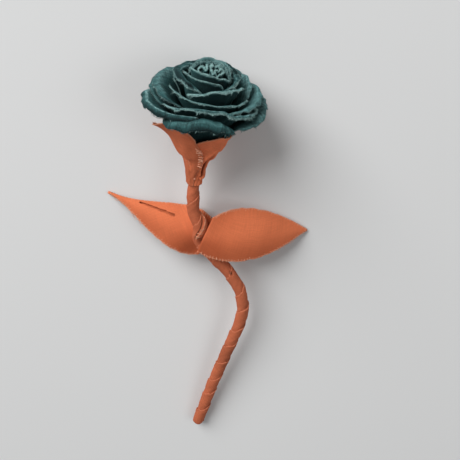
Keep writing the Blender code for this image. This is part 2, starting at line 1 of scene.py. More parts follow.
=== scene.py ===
"""Fabric rose, dressed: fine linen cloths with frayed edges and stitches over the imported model.

Shapes are designed in millimetres in the standing rose's frame, x to the right, y to the back and z up,
and lay() turns them into the frame of the rose lying on its back. Angles are degrees.
"""

from collections import namedtuple

import bpy
import numpy as np
from mathutils import Matrix, Vector

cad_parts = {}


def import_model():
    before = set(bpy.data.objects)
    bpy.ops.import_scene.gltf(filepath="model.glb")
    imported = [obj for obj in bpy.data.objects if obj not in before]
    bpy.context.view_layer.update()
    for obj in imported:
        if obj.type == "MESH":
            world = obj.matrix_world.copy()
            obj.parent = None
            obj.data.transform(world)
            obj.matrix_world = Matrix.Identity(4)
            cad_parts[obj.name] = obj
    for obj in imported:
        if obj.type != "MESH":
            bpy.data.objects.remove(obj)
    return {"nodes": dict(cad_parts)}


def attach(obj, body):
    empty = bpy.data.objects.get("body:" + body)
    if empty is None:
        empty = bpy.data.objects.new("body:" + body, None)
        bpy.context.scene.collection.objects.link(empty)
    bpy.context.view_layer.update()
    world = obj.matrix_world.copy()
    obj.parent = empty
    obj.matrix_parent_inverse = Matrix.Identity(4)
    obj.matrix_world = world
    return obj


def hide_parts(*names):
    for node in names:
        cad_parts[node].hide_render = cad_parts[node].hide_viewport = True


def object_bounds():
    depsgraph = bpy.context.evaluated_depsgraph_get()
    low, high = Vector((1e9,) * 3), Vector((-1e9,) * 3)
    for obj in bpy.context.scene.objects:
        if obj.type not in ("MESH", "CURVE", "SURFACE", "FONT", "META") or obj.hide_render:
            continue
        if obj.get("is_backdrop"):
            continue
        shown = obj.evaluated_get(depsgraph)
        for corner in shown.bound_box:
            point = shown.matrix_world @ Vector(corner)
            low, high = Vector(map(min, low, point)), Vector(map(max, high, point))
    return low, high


MM = 0.001
BODY = "root"

# Cloth
CLOTH = 0.45
THREAD_PITCH = 0.62
# Least height of a thread over the floor
FLOOR_ROOM = 0.02
# Farthest distance from a raw edge of the stem or a leaf that is told apart
FAR_FROM_EDGE = 8.0

# How the standing rose is laid on its back
LIE_BACK = -85.6
LIE_OFFSET = (11.535, -110.525, 6.89)

# Camera in the standing rose's frame
CAMERA_AT = (0.0, -355.0, 298.0)
CAMERA_PITCH = 25.4
CAMERA_LENS = 59.63

# Stem
STEM_LINE = [
    (-19.0, 3.5, 3.0), (-10.0, 2.2, 31.0), (-1.5, 1.0, 54.5), (5.0, 0.2, 72.5), (6.9, -0.4, 83.5),
    (4.8, -0.4, 95.0), (-1.5, -0.2, 106.0), (-9.5, 0.0, 115.0), (-15.9, 0.0, 123.5), (-15.8, 0.0, 131.0),
    (-18.4, 0.0, 140.0), (-18.7, -0.2, 149.0), (-17.5, 0.0, 157.4), (-16.6, 1.0, 165.0),
]
FLOWER_BASE = (-15.5, 0.0, 172.5)
FLOWER_TOP = (-8.2, -11.5, 214.5)
WIRE_INTO_FLOWER = 5.0
WRAP_SHORT_OF_FLOWER = 2.0
WRAP_LOW = 2.6
WRAP_HIGH = 3.25
WRAP_PITCH = 12.0
WRAP_OVERLAP = 2.6
WRAP_TAPER = 0.6
WRAP_TAPER_START = 29.0
WRAP_TAPER_END = 22.0
FOOT_SLANT = 18.0
WRAP_STEPS_A_TURN = 60
WRAP_COLUMNS = 25
WRAP_THICKNESS = 0.4
# How unevenly the strip is wound, in turns, and how uneven its upper edge and its face are, in millimetres
WRAP_SWAY = 0.084
WRAP_RAGGED = 0.35
WRAP_DENTS = 0.08
# Longest and shortest wave of each of the three, the first two in turns and the dents in millimetres, and
# the number of the edge's waves
SWAY_WAVES = (4.0, 1.0)
RAGGED_WAVES = (0.6, 0.12, 12)
WRAP_DENT_WAVES = (9.0, 3.0)
# About how long and wide one turn of the strip is when laid flat
TURN_FLAT = (19.0, 14.0)
WRAP_WEAVE_ANGLE = 30.0
# Fibres a millimetre along its edge, and their length
WRAP_FIBRES = (3.0, 0.35)

# Flower
BUD_BASE_RADIUS = 3.3
LAYER_STEP = 0.8
BASE_HEIGHT = 7.0
BASE_DROP = 0.5
DOME_TOP = 45.0
DOME_DROP = 18.0
DOME_RADIUS = 30.0
DOME_POWER = 1.7
RIM_SPARE = 1.25
RIM_EASE = 0.35
RIM_FREE = 2.5
RIM_RUN_ON = 1.25
SETTLE_ANGLE = 30.0
SETTLE_STEP = 0.6
FOOT_LEAN = (4.0, 0.4)
CREST_LEAN = (-16.0, 3.0)
FOOT_PULL = 0.42
CREST_PULL = 0.34
LIP_SHARE = 0.16
LIP_CURVE = 1.25
LIP_NARROWING = 0.8
LIP_NARROWING_POWER = 2.5
PETAL_FOOT_WIDTH = 0.7
SHOULDER_POWER = 3.5
PETAL_COLUMNS = 97
PETAL_BODY_ROWS = 22
PETAL_LIP_ROWS = 13
WEAVE_TURN = 37.0
# Unevenness of the petals' tops, cut edges, turns and lips: seed of the first petal, longest and shortest
# wave in millimetres, number of waves and how much each changes
UNEVEN = {
    "top": (100, 16.0, 6.0, 9, 0.008),
    "cut": (200, 5.0, 1.0, 14, 0.12),
    "turn": (300, 14.0, 5.0, 9, 0.15),
    "lip": (400, 12.0, 4.0, 9, 0.16),
}
WIDEST_UNEVEN_LIP = 2.0
# Dents: seed of the first petal, longest and shortest wave, depth, and up which share of the height they grow
DENT_SEED = 500
DENT_WAVES = (18.0, 7.0)
DENT_DEPTH = 0.22
DENTS_FROM = 0.3

# Each petal: name, middle angle, half span, rim radius at its left, middle and right, rim raised by,
# lip reach, lip turn, the share of height lost at its left and right sides, how far its rim is tucked in
# under the rims inside it, and how much its right end is raised and its left end lowered. Its looks follow:
# how far from its crest its painted highlight reaches and its painted shade sets in, in millimetres, how
# bright the painted highlight on its crest is, how wide its worn edge is and how much painted shade darkens
# its worn edge and frayed edge, from 0 for pale threads to 1 for dark ones
Petal = namedtuple("Petal", "name middle half rim raised lip turn lose_left lose_right tuck tilt "
                            "reach paleness worn darkness")
PETALS = [Petal("petal_" + name, *values) for name, *values in [
    ("bud_left", 262, 90, (10.2, 6.8, 8.8), 1.6, 0.6, 60, 0.04, 0.06, 0.0, -1.6, 0.9, 0.75, 1.5, 0.15),
    ("bud_back", 85, 82, (7.2, 6.8, 7.2), 1.0, 0.6, 50, 0.08, 0.08, 0.0, 0.0, 0.9, 0.45, 1.0, 0.45),
    ("bud_front", 236, 76, (12.4, 8.8, 9.4), 0.3, 0.8, 60, 0.04, 0.10, 0.0, 0.3, 0.9, 0.7, 1.5, 0.2),
    ("hood", 78, 70, (9.6, 9.0, 11.0), 1.9, 1.0, 60, 0.10, 0.10, 0.0, 0.6, 2.2, 0.15, 1.8, 0.45),
    ("inner_right", 350, 62, (11.4, 11.4, 12.5), 0.0, 1.4, 90, 0.10, 0.12, 0.0, 0.0, 1.3, 0.25, 1.0, 0.45),
    ("folded_left", 190, 64, (16.0, 13.0, 13.6), 1.0, 3.4, 150, 0.05, 0.05, 0.0, 0.0, 1.4, 0.65, 1.5, 0.25),
    ("front_band", 292, 60, (16.6, 13.4, 16.0), 1.6, 1.8, 100, 0.05, 0.06, 0.0, 0.0, 1.8, 1.0, 2.6, 0.05),
    ("inner_back", 82, 60, (15.0, 13.6, 15.5), 1.5, 1.6, 90, 0.12, 0.12, 0.0, 0.0, 0.9, 0.45, 1.0, 0.45),
    ("front_middle", 270, 76, (19.6, 18.6, 19.4), 0.8, 0.9, 70, 0.04, 0.06, 0.0, -1.0, 1.5, 0.45, 1.0, 0.4),
    ("right_small", 36, 44, (19.4, 18.6, 18.6), 1.2, 1.8, 100, 0.10, 0.10, 0.0, 0.0, 9.0, 0.3, 1.0, 0.6),
    ("middle_back", 108, 54, (18.6, 18.6, 19.6), 1.0, 1.8, 90, 0.12, 0.12, 0.0, 0.0, 0.9, 0.45, 1.0, 0.45),
    ("left_face", 176, 58, (23.2, 22.6, 22.4), 1.2, 2.6, 80, 0.08, 0.08, 0.0, 0.0, 7.0, 0.3, 1.0, 0.8),
    ("right_middle", 356, 56, (22.0, 22.6, 22.8), 1.6, 2.0, 90, 0.08, 0.12, 0.8, 0.0, 10.0, 0.2, 1.0, 0.7),
    ("front_outer", 278, 64, (25.6, 21.6, 25.2), 2.2, 1.8, 100, 0.07, 0.07, 0.0, 0.0, 2.0, 0.85, 1.8, 0.2),
    ("outer_back", 74, 56, (23.4, 23.4, 23.8), 1.3, 2.0, 90, 0.12, 0.14, 0.0, 0.0, 5.0, 0.15, 1.0, 0.8),
    ("left_outer", 156, 50, (26.0, 26.0, 26.0), 0.9, 1.2, 70, 0.12, 0.12, 0.8, 0.0, 2.4, 0.15, 1.0, 0.95),
    ("left_band", 212, 46, (29.4, 27.6, 24.8), 1.2, 3.0, 110, 0.08, 0.06, 0.4, 1.0, 2.3, 1.0, 1.6, 1.0),
    ("lower_front", 265, 45, (25.0, 20.0, 22.0), -5.0, 8.4, 95, 0.12, 0.14, 5.8, -2.7, 3.6, 0.1, 1.0, 1.0),
    ("right_outer", 352, 40, (24.9, 25.4, 28.7), -0.6, 2.2, 90, 0.10, 0.12, 1.4, 2.3, 16.0, 0.25, 1.0, 0.9),
    ("back_right", 52, 44, (26.0, 25.6, 26.4), 0.0, 2.0, 90, 0.15, 0.15, 2.0, 0.0, 8.0, 0.15, 1.0, 0.9),
    ("back_left", 118, 44, (29.5, 29.2, 28.6), 0.0, 2.0, 90, 0.15, 0.15, 0.0, 0.0, 8.0, 0.15, 1.0, 1.0),
]]

# How much the shade of the frayed edges changes from place to place
FRAY_SPECKLE = 0.45
# Petals whose painted shade deepens towards one end: which end, from where on, and by how much
END_SHADES = {"petal_lower_front": (-1, 0.5, 1.0), "petal_left_face": (1, 0.42, 0.9)}
END_SHADE_REACH = 0.4
# How far outside its crest a petal's painted highlight lies, in millimetres
HIGHLIGHT_SHIFTS = {"petal_lower_front": 5.8}
# Threads that have come loose along each petal's top: how many, and how far they stray
LOOSE_ON_PETAL = (3, 0.5)

# Centre roll: the strip's path at the flower's top, from its inner end outwards
ROLL_PATH = [
    (0.9, -0.4), (2.1, -1.0), (3.9, 0.3), (3.6, 3.0), (1.5, 3.9), (-0.5, 2.6), (-0.9, -0.2), (0.5, -3.2),
    (2.9, -3.4), (4.9, -1.4), (5.2, 2.0), (3.3, 5.0), (0.2, 5.6), (-2.5, 4.8), (-2.5, 2.4), (-2.1, 0.2),
    (-2.8, -1.4), (-3.8, -0.4), (-3.8, 1.8), (-4.3, 3.4), (-5.9, 2.4), (-6.2, -0.6), (-4.6, -3.2),
    (-1.6, -4.8),
]
ROLL_FOOT_SHARE = 0.45
ROLL_FOOT_HEIGHT = 8.0
ROLL_HEAD_HEIGHT = 45.9
ROLL_ROWS = 24
ROLL_SWELL = 1.2
ROLL_THICKNESS = 0.6
ROLL_WEAVE_ANGLE = 20.0
# Its rim: how uneven it is with the longest and shortest wave, and how steeply it falls outwards
ROLL_UNEVEN = 0.5
ROLL_WAVES = (8.0, 2.0)
ROLL_FALL = 0.05
# How wide its worn edge is, and how far down from it the painted highlight reaches before painted shade sets
# in, in millimetres
ROLL_WORN = 1.6
ROLL_HIGHLIGHT_REACH = 1.2
ROLL_FIBRES = dict(spread=0.8, lift=1.2, width=0.11)

# Calyx
CALYX_START = 240.0
CALYX_SPAN = 396.0
CALYX_FOOT_HEIGHT = -16.0
CALYX_FOOT_RADIUS = 3.45
CALYX_LAP = 0.85
CALYX_FLARE = 1.35
CALYX_NECK_SHARE = 0.5
CALYX_NOTCH = 0.25
CALYX_ROOM = 0.7
CALYX_LAP_LAYERS = 0.935
CALYX_LAP_RIM = 1.5
SEPAL_SIDE = 1.1
# Sepals: middle in degrees, counted on past 360 like the cloth's own, half width, share of the height and
# bluntness
SEPALS = [(588, 41, 0.79, 1.8), (302, 56, 0.47, 1.4), (390, 44, 0.36, 1.4), (482, 50, 0.40, 1.4)]
# Edge of the end that laps over: degrees that it runs on at its foot, where it is widest, and at its top
SEAM = (-14.0, 8.0, -18.0)
SEAM_WIDEST = 0.35
SEAM_POWER = 6.0
# The left sepal stands off the petals: middle angle, half width, distance, and where that starts and ends
STAND_OFF = (194.0, 60.0, 2.2)
STAND_OFF_FROM = 0.2
STAND_OFF_TO = 0.8
# How far its tip curls out and up, from which share of the height on, and how narrow the curl is
TIP_CURL = (2.8, 0.6)
TIP_CURL_FROM = 0.75
TIP_CURL_POWER = 3.0
# Its right side stands more upright: middle angle, half width, how far in and up, and where that starts
UPRIGHT = (237.0, 32.0, 2.0, 3.6)
UPRIGHT_FROM = 0.5
# Pleat on the calyx's right: its line, downwards, as shares of the way round and up
PLEAT_PATH = [
    (0.185, 0.68), (0.158, 0.58), (0.142, 0.50), (0.132, 0.42), (0.128, 0.35), (0.128, 0.30), (0.132, 0.24),
    (0.145, 0.17),
]
# Height of its fold, depth of its hollow and height of its flap, each with how wide it is, in millimetres
PLEAT_FOLD = (0.8, 0.9)
PLEAT_HOLLOW = (1.2, 1.6)
PLEAT_FLAP = (1.9, 0.9)
# How far from the pleat's line the flap and the darkest place lie, where up the flap ends, and over what
PLEAT_FLAP_OFF = 1.7
PLEAT_DARK_OFF = 0.5
PLEAT_FLAP_TOP = 0.46
PLEAT_FLAP_FADE = 0.12
# Where the cloth can lie near the pleat: from and up to which share of the way round, and how far up
PLEAT_REGION = (0.08, 0.40, 0.8)
# Whip stitches over the lap: shares of the way up at the first and last, their pitch, and how high and how
# far in they pucker the cloth, in millimetres
SEAM_STITCHES = (0.34, 0.70)
SEAM_PITCH = 1.95
SEAM_PUCKER = 0.4
SEAM_PUCKER_REACH = 3.4
SEAM_PUCKER_FADE = 1.5
# One stitch: how far out past the edge and how high over the cloth each of its points lies
SEAM_STITCH = ((0.0, 0.1), (0.0, 0.34), (0.0, 0.38), (0.0, 0.36), (0.3, 0.1), (0.4, -0.5))
SEAM_THREAD_RADIUS = 0.2
# Height of the knot at the seam's foot, as a share of the lap's length
SEAM_KNOT = 0.11
# The neck is drawn in on both sides: by how much, where round it and up it, and how wide and tall that is
NECK_TUCKS = [(4.0, 0.32, 0.36, 0.24, 0.40), (2.2, 0.83, 0.40, 0.16, 0.30)]
NECK_TUCK_TOP = 0.58
NECK_TUCK_FADE = 0.2
# Painted shade on its left and low down: how deep, from which share on, and over how much of it that grows
CALYX_SHADES = ((0.49, 0.3, 0.2), (0.35, 0.4, 0.2))
# Painted shadow in the pleat's hollow and painted shade between the seam's puckers
HOLLOW_SHADE = 1.4
PUCKER_SHADE = 1.3
CALYX_COLUMNS = 241
CALYX_ROWS = 161
# Its ripples: longest and shortest wave, its width and height to which they are scaled, and their depth
CALYX_WAVES = (14.0, 5.0)
CALYX_SIZE = (110.0, 40.0)
CALYX_RIPPLE = 0.15
# Share of the height from which its sides are frayed
CALYX_FRAYED_FROM = 0.6

# Where the strip's end is sewn down on the stem: the line of its edge (length along the stem, degrees
# round it), how far it stands out, its middle and its reach along the stem
FLAP_EDGE = ((133.0, 135.5, 138.5, 143.0, 147.5, 150.0), (-125.0, -108.0, -88.0, -30.0, 0.0, 15.0))
FLAP_HEIGHT = 1.5
FLAP_MIDDLE = 140.0
FLAP_REACH = 6.0
# Degrees round the stem: where it has sunk back, over how many it rises and sinks, how far before its edge
# its shadow lies and how wide that is
FLAP_TURN_END = 80.0
FLAP_RISE = 12.0
FLAP_SINK = 70.0
FLAP_SHADOW = (10.0, 9.0)
# The stretch that is sewn, how far past the edge its threads run, in how many points, the edge thread's
# radius, at which points there are stitches, their radius, and one stitch: over the edge and upwards
FLAP_SEWN = (134.5, 148.5)
FLAP_EDGE_SHIFT = 7.0
FLAP_POINTS = 40
FLAP_THREAD_RADIUS = 0.16
FLAP_STITCHES_AT = (5, 10, 15)
FLAP_STITCH_RADIUS = 0.18
FLAP_STITCH = ((-1.2, 0.0), (-0.6, 0.35), (0.0, 0.3), (1.2, -0.9))
# How deep the painted shadow beside it and the painted shade in the worn hole are
FLAP_SHADE = 1.4
# A hole worn in the strip lower down: length along the stem, degrees round it, radius and depth
WORN_HOLE = (107.6, -62.0, 0.95, 0.8)
# Turns with darker dye: their middle and half length along the stem, and how dark they are
DARK_TURNS = (51.5, 9.5, 0.36)

# Leaves
LEAF_COLUMNS = 121
LEAF_ROWS = 61
# About how long each leaf is, for the distance to its tip
LEAF_LENGTH = 60.0
LEAF_HALF_GAP = 0.3
LEAF_PUFF_FRONT = 1.3
LEAF_PUFF_BACK = 0.8
LEAF_TIP_HALF = 0.5
LEAF_CUP_HALF = 13.0
LEAF_PUFF_POWER = 0.7
LEAF_TWIST_END = 0.35
# Dents in its cloth, in millimetres, and how uneven its cut edge is, as a share of its width
LEAF_DENTS = 0.16
LEAF_UNEVEN = 0.012
# How deep its dye is everywhere, and how much painted shade deepens it towards its lower edge and its base
LEAF_DYE_AND_SHADE = (0.1, 0.75, 0.6)
# Each leaf: ends of its middle line, the way its width points at its base and further out, half widths of its
# upper and lower half at the base and how they swell, how finely they taper, slant of the base, arch and cup
LEAVES = {
    "leaf_right": dict(
        base=(-12.9, -4.9, 128.7), tip=(41.2, 15.5, 122.2), across_base=(0.02, 0.30, 0.92),
        across=(0.02, 0.43, 0.90), base_half=(9.0, 8.0), belly=(33.0, 48.0), fine=(1.1, 1.3),
        slant=0.5, arch=2.0, cup=2.0),
    "leaf_left": dict(
        base=(-12.2, 4.9, 122.9), tip=(-64.3, 17.1, 143.4), across_base=(0.25, 0.10, 0.92),
        across=(0.25, 0.60, 0.70), base_half=(10.1, 10.4), belly=(52.0, 45.0), fine=(2.4, 1.8),
        slant=0.0, arch=1.5, cup=1.5),
}
# Slit in the left leaf's front: its ends along and above the leaf's middle line, and its width
SLIT_FROM = (20.0, 2.9)
SLIT_TO = (39.5, 1.6)
SLIT_WIDTH = 1.0
# Whip stitches round each leaf: shortest and longest pitch, and the thread's radius
LEAF_STITCH_PITCH = (1.3, 2.1)
LEAF_THREAD_RADIUS = 0.13
# Least and most that a stitch leans on along the edge, and bites into the leaf
STITCH_LEAN = (0.5, 1.1)
STITCH_BITE = (0.7, 1.2)
# Points of one stitch: on the front, middle or back, how far on and how deep in as shares of its lean and its
# bite, and how far up from the leaf and out past its edge
LEAF_STITCH = (
    ("front", 0.0, 1.0, 0.1, 0.0), ("front", 0.3, 0.5, 0.42, 0.0), ("front", 0.6, 0.0, 0.35, 0.12),
    ("middle", 0.8, 0.0, 0.0, 0.42), ("back", 1.0, 0.0, -0.35, 0.12), ("back", 1.0, 0.6, -0.15, 0.0),
)
# Threads loose along a leaf's lower edge, from this share of its length on: how many, and how far they stray
LOOSE_ON_LEAF = (4, 1.3)
LOOSE_LEAF_FROM = 0.55

# Colours, linear
TEAL = (0.026, 0.078, 0.079)
# The next two are the petals' painted shade and painted highlight colours
TEAL_SHADE = (0.002, 0.008, 0.009)
TEAL_HIGHLIGHT = (0.25, 0.40, 0.40)
TEAL_WORN = (0.26, 0.44, 0.425)
TEAL_FRAY = (0.40, 0.64, 0.62)
ORANGE = (0.64, 0.165, 0.068)
# Painted shade colour of the leaves' cloth
ORANGE_SHADE = (0.36, 0.080, 0.030)
ORANGE_FRAY = (0.74, 0.30, 0.17)
TERRACOTTA = (0.42, 0.110, 0.050)
CALYX_TERRACOTTA = (0.74, 0.195, 0.085)
TERRACOTTA_FRAY = (0.66, 0.30, 0.18)
TERRACOTTA_WORN = (0.52, 0.17, 0.09)
THREAD = (0.80, 0.42, 0.27)
SEAM_THREAD = (0.95, 0.50, 0.33)
# Share of a fibre's colour left where painted shade darkens it fully
SHADED_FIBRE = 0.12
FLOOR = (0.655, 0.66, 0.66)

# Linen's ranges: how deep its dye and painted shade are, how far the painted highlight on its crest reaches
# and how patchily, and its tone
DYE_AND_SHADE_RANGE = (0.35, 1.45)
HIGHLIGHT_RANGE = (0.72, 0.18)
PATCHY_RANGE = (0.36, 0.60, 0.35, 1.25)
TONE_RANGE = (0.48, 1.18)
# Linen: how much its weave, slubs and cloudy patches change its tone, its darkest tone, how ragged its worn
# edge is and how far its threads stand out, both in millimetres
WEAVE_TONE = 0.42
SLUB_TONE = 0.9
CLOUD_TONE = 0.35
DARKEST = 0.12
RAGGED_EDGE = 1.6
THREAD_RELIEF = 0.20

# Frayed edges: fibres a millimetre and their length, pitch and length of the weave's own thread ends
FRAYING = {
    "petal": (8.0, 0.6, THREAD_PITCH, 0.5),
    "roll": (22.0, 0.55, 0.7, 0.35),
    "calyx": (7.0, 0.6, THREAD_PITCH, 0.5),
    "flap": (9.0, 0.6, THREAD_PITCH, 0.5),
    "leaf": (4.0, 0.4, 1.3 * THREAD_PITCH, 0.25),
}

# How deep fibres and thread ends are rooted in the cloth, and how far from its middle, in millimetres
FIBRE_ROOT = 0.15
FIBRE_ROOT_SPREAD = 0.18
THREAD_END_ROOT = 0.5
# Length of the fibres and of the thread ends: how unevenly it is spread, its share where tufts are even, how
# much they change it, and the least and most that they can
FIBRE_LENGTHS = (0.45, 0.75, 0.7, 0.15, 1.6)
THREAD_END_LENGTHS = (0.5, 0.8, 0.6, 0.3, 1.5)
# Share of the thread ends that is left, and how much that changes with wear
THREAD_ENDS_LEFT = (0.62, 0.3)
# Longest and shortest wave of the tufts in a frayed edge, of its more worn stretches and of its shades
TUFT_WAVES = (7.0, 1.2)
WORN_WAVES = (9.0, 2.0)
SPECKLE_WAVES = (2.6, 1.0)
SPECKLE_SEED = 9000

# Lamps: place, size and power, both aimed at the rose
LAMPS = {"key": ((-1.10, 1.42, 1.30), 1.7, 58.5), "fill": ((1.20, 0.10, 1.50), 1.0, 6.0)}
LAMPS_AIM = (0.0, 0.03, 0.02)
ROOM_LIGHT = 0.22
FLOOR_HALF = 3.0


# Small helpers

def unit(vector):
    vector = np.asarray(vector, float)
    return vector / np.linalg.norm(vector, axis=-1, keepdims=True)


def smooth(x):
    x = np.clip(x, 0.0, 1.0)
    return x * x * (3.0 - 2.0 * x)


def ramp(x, start, end):
    """0 up to the start, 1 from the end on, and smooth between them."""
    return smooth((x - start) / (end - start))


def hump(off, half):
    """1 in the middle, 0 from half its width on."""
    return smooth(1 - np.abs(off) / half)


def bell(off, half, power=2):
    """1 in the middle, about a third at half its width, with a flatter top where the power is higher."""
    return np.exp(-(off / half) ** power)


def run_along(line):
    """Length along a line up to each of its points."""
    return np.concatenate([[0.0], np.cumsum(np.linalg.norm(np.diff(line, axis=0), axis=1))])


def read_along(at, run, line):
    """Points of a line at lengths along it."""
    return np.stack([np.interp(at, run, line[:, k]) for k in range(3)], axis=-1)


def spots_along(at, edge, outward, normal):
    """Points at lengths along an edge, and the directions outward, up and along it there."""
    root, out, up = (read_along(at, run_along(edge), line) for line in (edge, outward, normal))
    out, up = unit(out), unit(up)
    return root, out, up, unit(np.cross(out, up))


class Ripple:
    """Seeded smooth noise about -1 to 1 over one or two coordinates in millimetres."""

    def __init__(self, seed, longest, shortest, waves=9):
        rng = np.random.default_rng(seed)
        self.rate = 2 * np.pi / np.exp(rng.uniform(np.log(shortest), np.log(longest), waves))
        self.way = rng.uniform(0, 2 * np.pi, waves)
        self.phase = rng.uniform(0, 2 * np.pi, waves)
        self.gain = 1.0 / np.sqrt(waves / 2) / 1.4

    def __call__(self, u, v=0.0):
        u, v = np.broadcast_arrays(np.asarray(u, float), np.asarray(v, float))
        total = np.zeros(u.shape)
        for rate, way, phase in zip(self.rate, self.way, self.phase):
            total += np.sin(rate * (u * np.cos(way) + v * np.sin(way)) + phase)
        return total * self.gain


class EdgeRipple(Ripple):
    """The same along one coordinate only, as for a cut edge."""

    def __init__(self, seed, longest, shortest, waves=9):
        super().__init__(seed, longest, shortest, waves)
        self.way = np.zeros(waves)


def lay(points):
    """Points of the standing rose, in the frame of the rose lying on its back."""
    points = np.asarray(points, float)
    c, s = np.cos(np.radians(LIE_BACK)), np.sin(np.radians(LIE_BACK))
    x, y, z = points[..., 0], points[..., 1], points[..., 2]
    return np.stack([x, y * c - z * s, y * s + z * c], axis=-1) + np.array(LIE_OFFSET)


def flower_axes():
    up = unit(np.subtract(FLOWER_TOP, FLOWER_BASE))
    right = unit(np.array([1.0, 0.0, 0.0]) - up[0] * up)
    return right, np.cross(up, right), up


def from_flower(points):
    """Points of the flower's own frame in the standing rose's frame."""
    right, back, up = flower_axes()
    points = np.asarray(points, float)
    return np.array(FLOWER_BASE) + points[..., :1] * right + points[..., 1:2] * back + points[..., 2:] * up


def add_item(name, data):
    item = bpy.data.objects.new(name, data)
    bpy.context.collection.objects.link(item)
    return item


def link(name, mesh, material, slot):
    item = add_item(name, mesh)
    mesh.materials.append(material)
    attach(item, BODY)
    return item


def write_field(mesh, key, values):
    field = mesh.attributes.new(key, "FLOAT", "POINT")
    field.data.foreach_set("value", np.asarray(values).astype(np.float32).ravel())


def cloth_coordinates(points):
    """Flat millimetre coordinates of a grid of cloth points: across it and along it."""
    along = np.linalg.norm(np.diff(points, axis=1), axis=2)
    along = np.concatenate([np.zeros((len(points), 1)), np.cumsum(along, axis=1)], axis=1)
    across = np.linalg.norm(np.diff(points, axis=0), axis=2)
    across = np.concatenate([np.zeros((1, points.shape[1])), np.cumsum(across, axis=0)], axis=0)
    across -= across[len(points) // 2]
    widest = np.argmax(across[-1] - across[0])
    return 0.6 * across + 0.4 * across[:, widest:widest + 1], along


def grid_normals(points):
    du = np.gradient(points, axis=0)
    dv = np.gradient(points, axis=1)
    return unit(np.cross(du, dv))


def cloth(name, points, material, slot, edge, weave_angle=0.0, thickness=CLOTH, keep=None, painted_shade_and_dye=0.0,
          shade=0.0, crest=0.0):
    """Cloth from a grid of standing points, with its weave's map, the distance to its raw edge in
    millimetres, how deep its dye and painted shade are, from 0 to 1, how far painted shade keeps its worn
    edge dark and how bright the painted highlight on its crest is.
    """
    columns, rows = points.shape[:2]
    across, along = cloth_coordinates(points)
    mesh = bpy.data.meshes.new(name)
    faces = []
    for i in range(columns - 1):
        for j in range(rows - 1):
            if keep is None or keep[i, j]:
                a, b = i * rows + j, (i + 1) * rows + j
                faces.append((a, b, b + 1, a + 1))
    mesh.from_pydata((lay(points).reshape(-1, 3) * MM).tolist(), [], faces)
    turn = np.radians(weave_angle)
    u = (across * np.cos(turn) - along * np.sin(turn)).ravel()
    v = (across * np.sin(turn) + along * np.cos(turn)).ravel()
    corners = np.empty(len(mesh.loops), dtype=np.int32)
    mesh.loops.foreach_get("vertex_index", corners)
    uv = mesh.uv_layers.new(name="weave")
    uv.data.foreach_set("uv", np.stack([u[corners], v[corners]], axis=1).astype(np.float32).ravel())
    for key, values in (("edge", edge), ("painted_shade_and_dye", painted_shade_and_dye), ("shade", shade), ("crest", crest)):
        write_field(mesh, key, np.broadcast_to(values, (columns, rows)))
    mesh.shade_smooth()
    item = link(name, mesh, material, slot)
    solid = item.modifiers.new("cloth", "SOLIDIFY")
    solid.thickness = thickness * MM
    solid.offset = 0.0
    return item


def flat_size(points):
    """Width, length and area of a grid of cloth points laid flat, in metres and square metres."""
    across, along = cloth_coordinates(points)
    a = points[1:, :-1] - points[:-1, :-1]
    b = points[:-1, 1:] - points[:-1, :-1]
    area = np.linalg.norm(np.cross(a, b), axis=2).sum() * MM * MM
    width = float((across[-1] - across[0]).max()) * MM
    length = float(along[:, -1].max()) * MM
    return round(width, 4), round(length, 4), min(area, 0.999 * width * length)


def declare(item, points):
    width, length, area = flat_size(points)


# Fibres and threads

def tube_faces(rings, sides):
    """Faces of a tube with so many rings and sides, and closed ends."""
    faces = []
    for i in range(rings - 1):
        for j in range(sides):
            k = (j + 1) % sides
            faces.append((i * sides + j, i * sides + k, (i + 1) * sides + k, (i + 1) * sides + j))
    last = (rings - 1) * sides
    return [*faces, tuple(range(sides))[::-1], tuple(range(last, last + sides))]


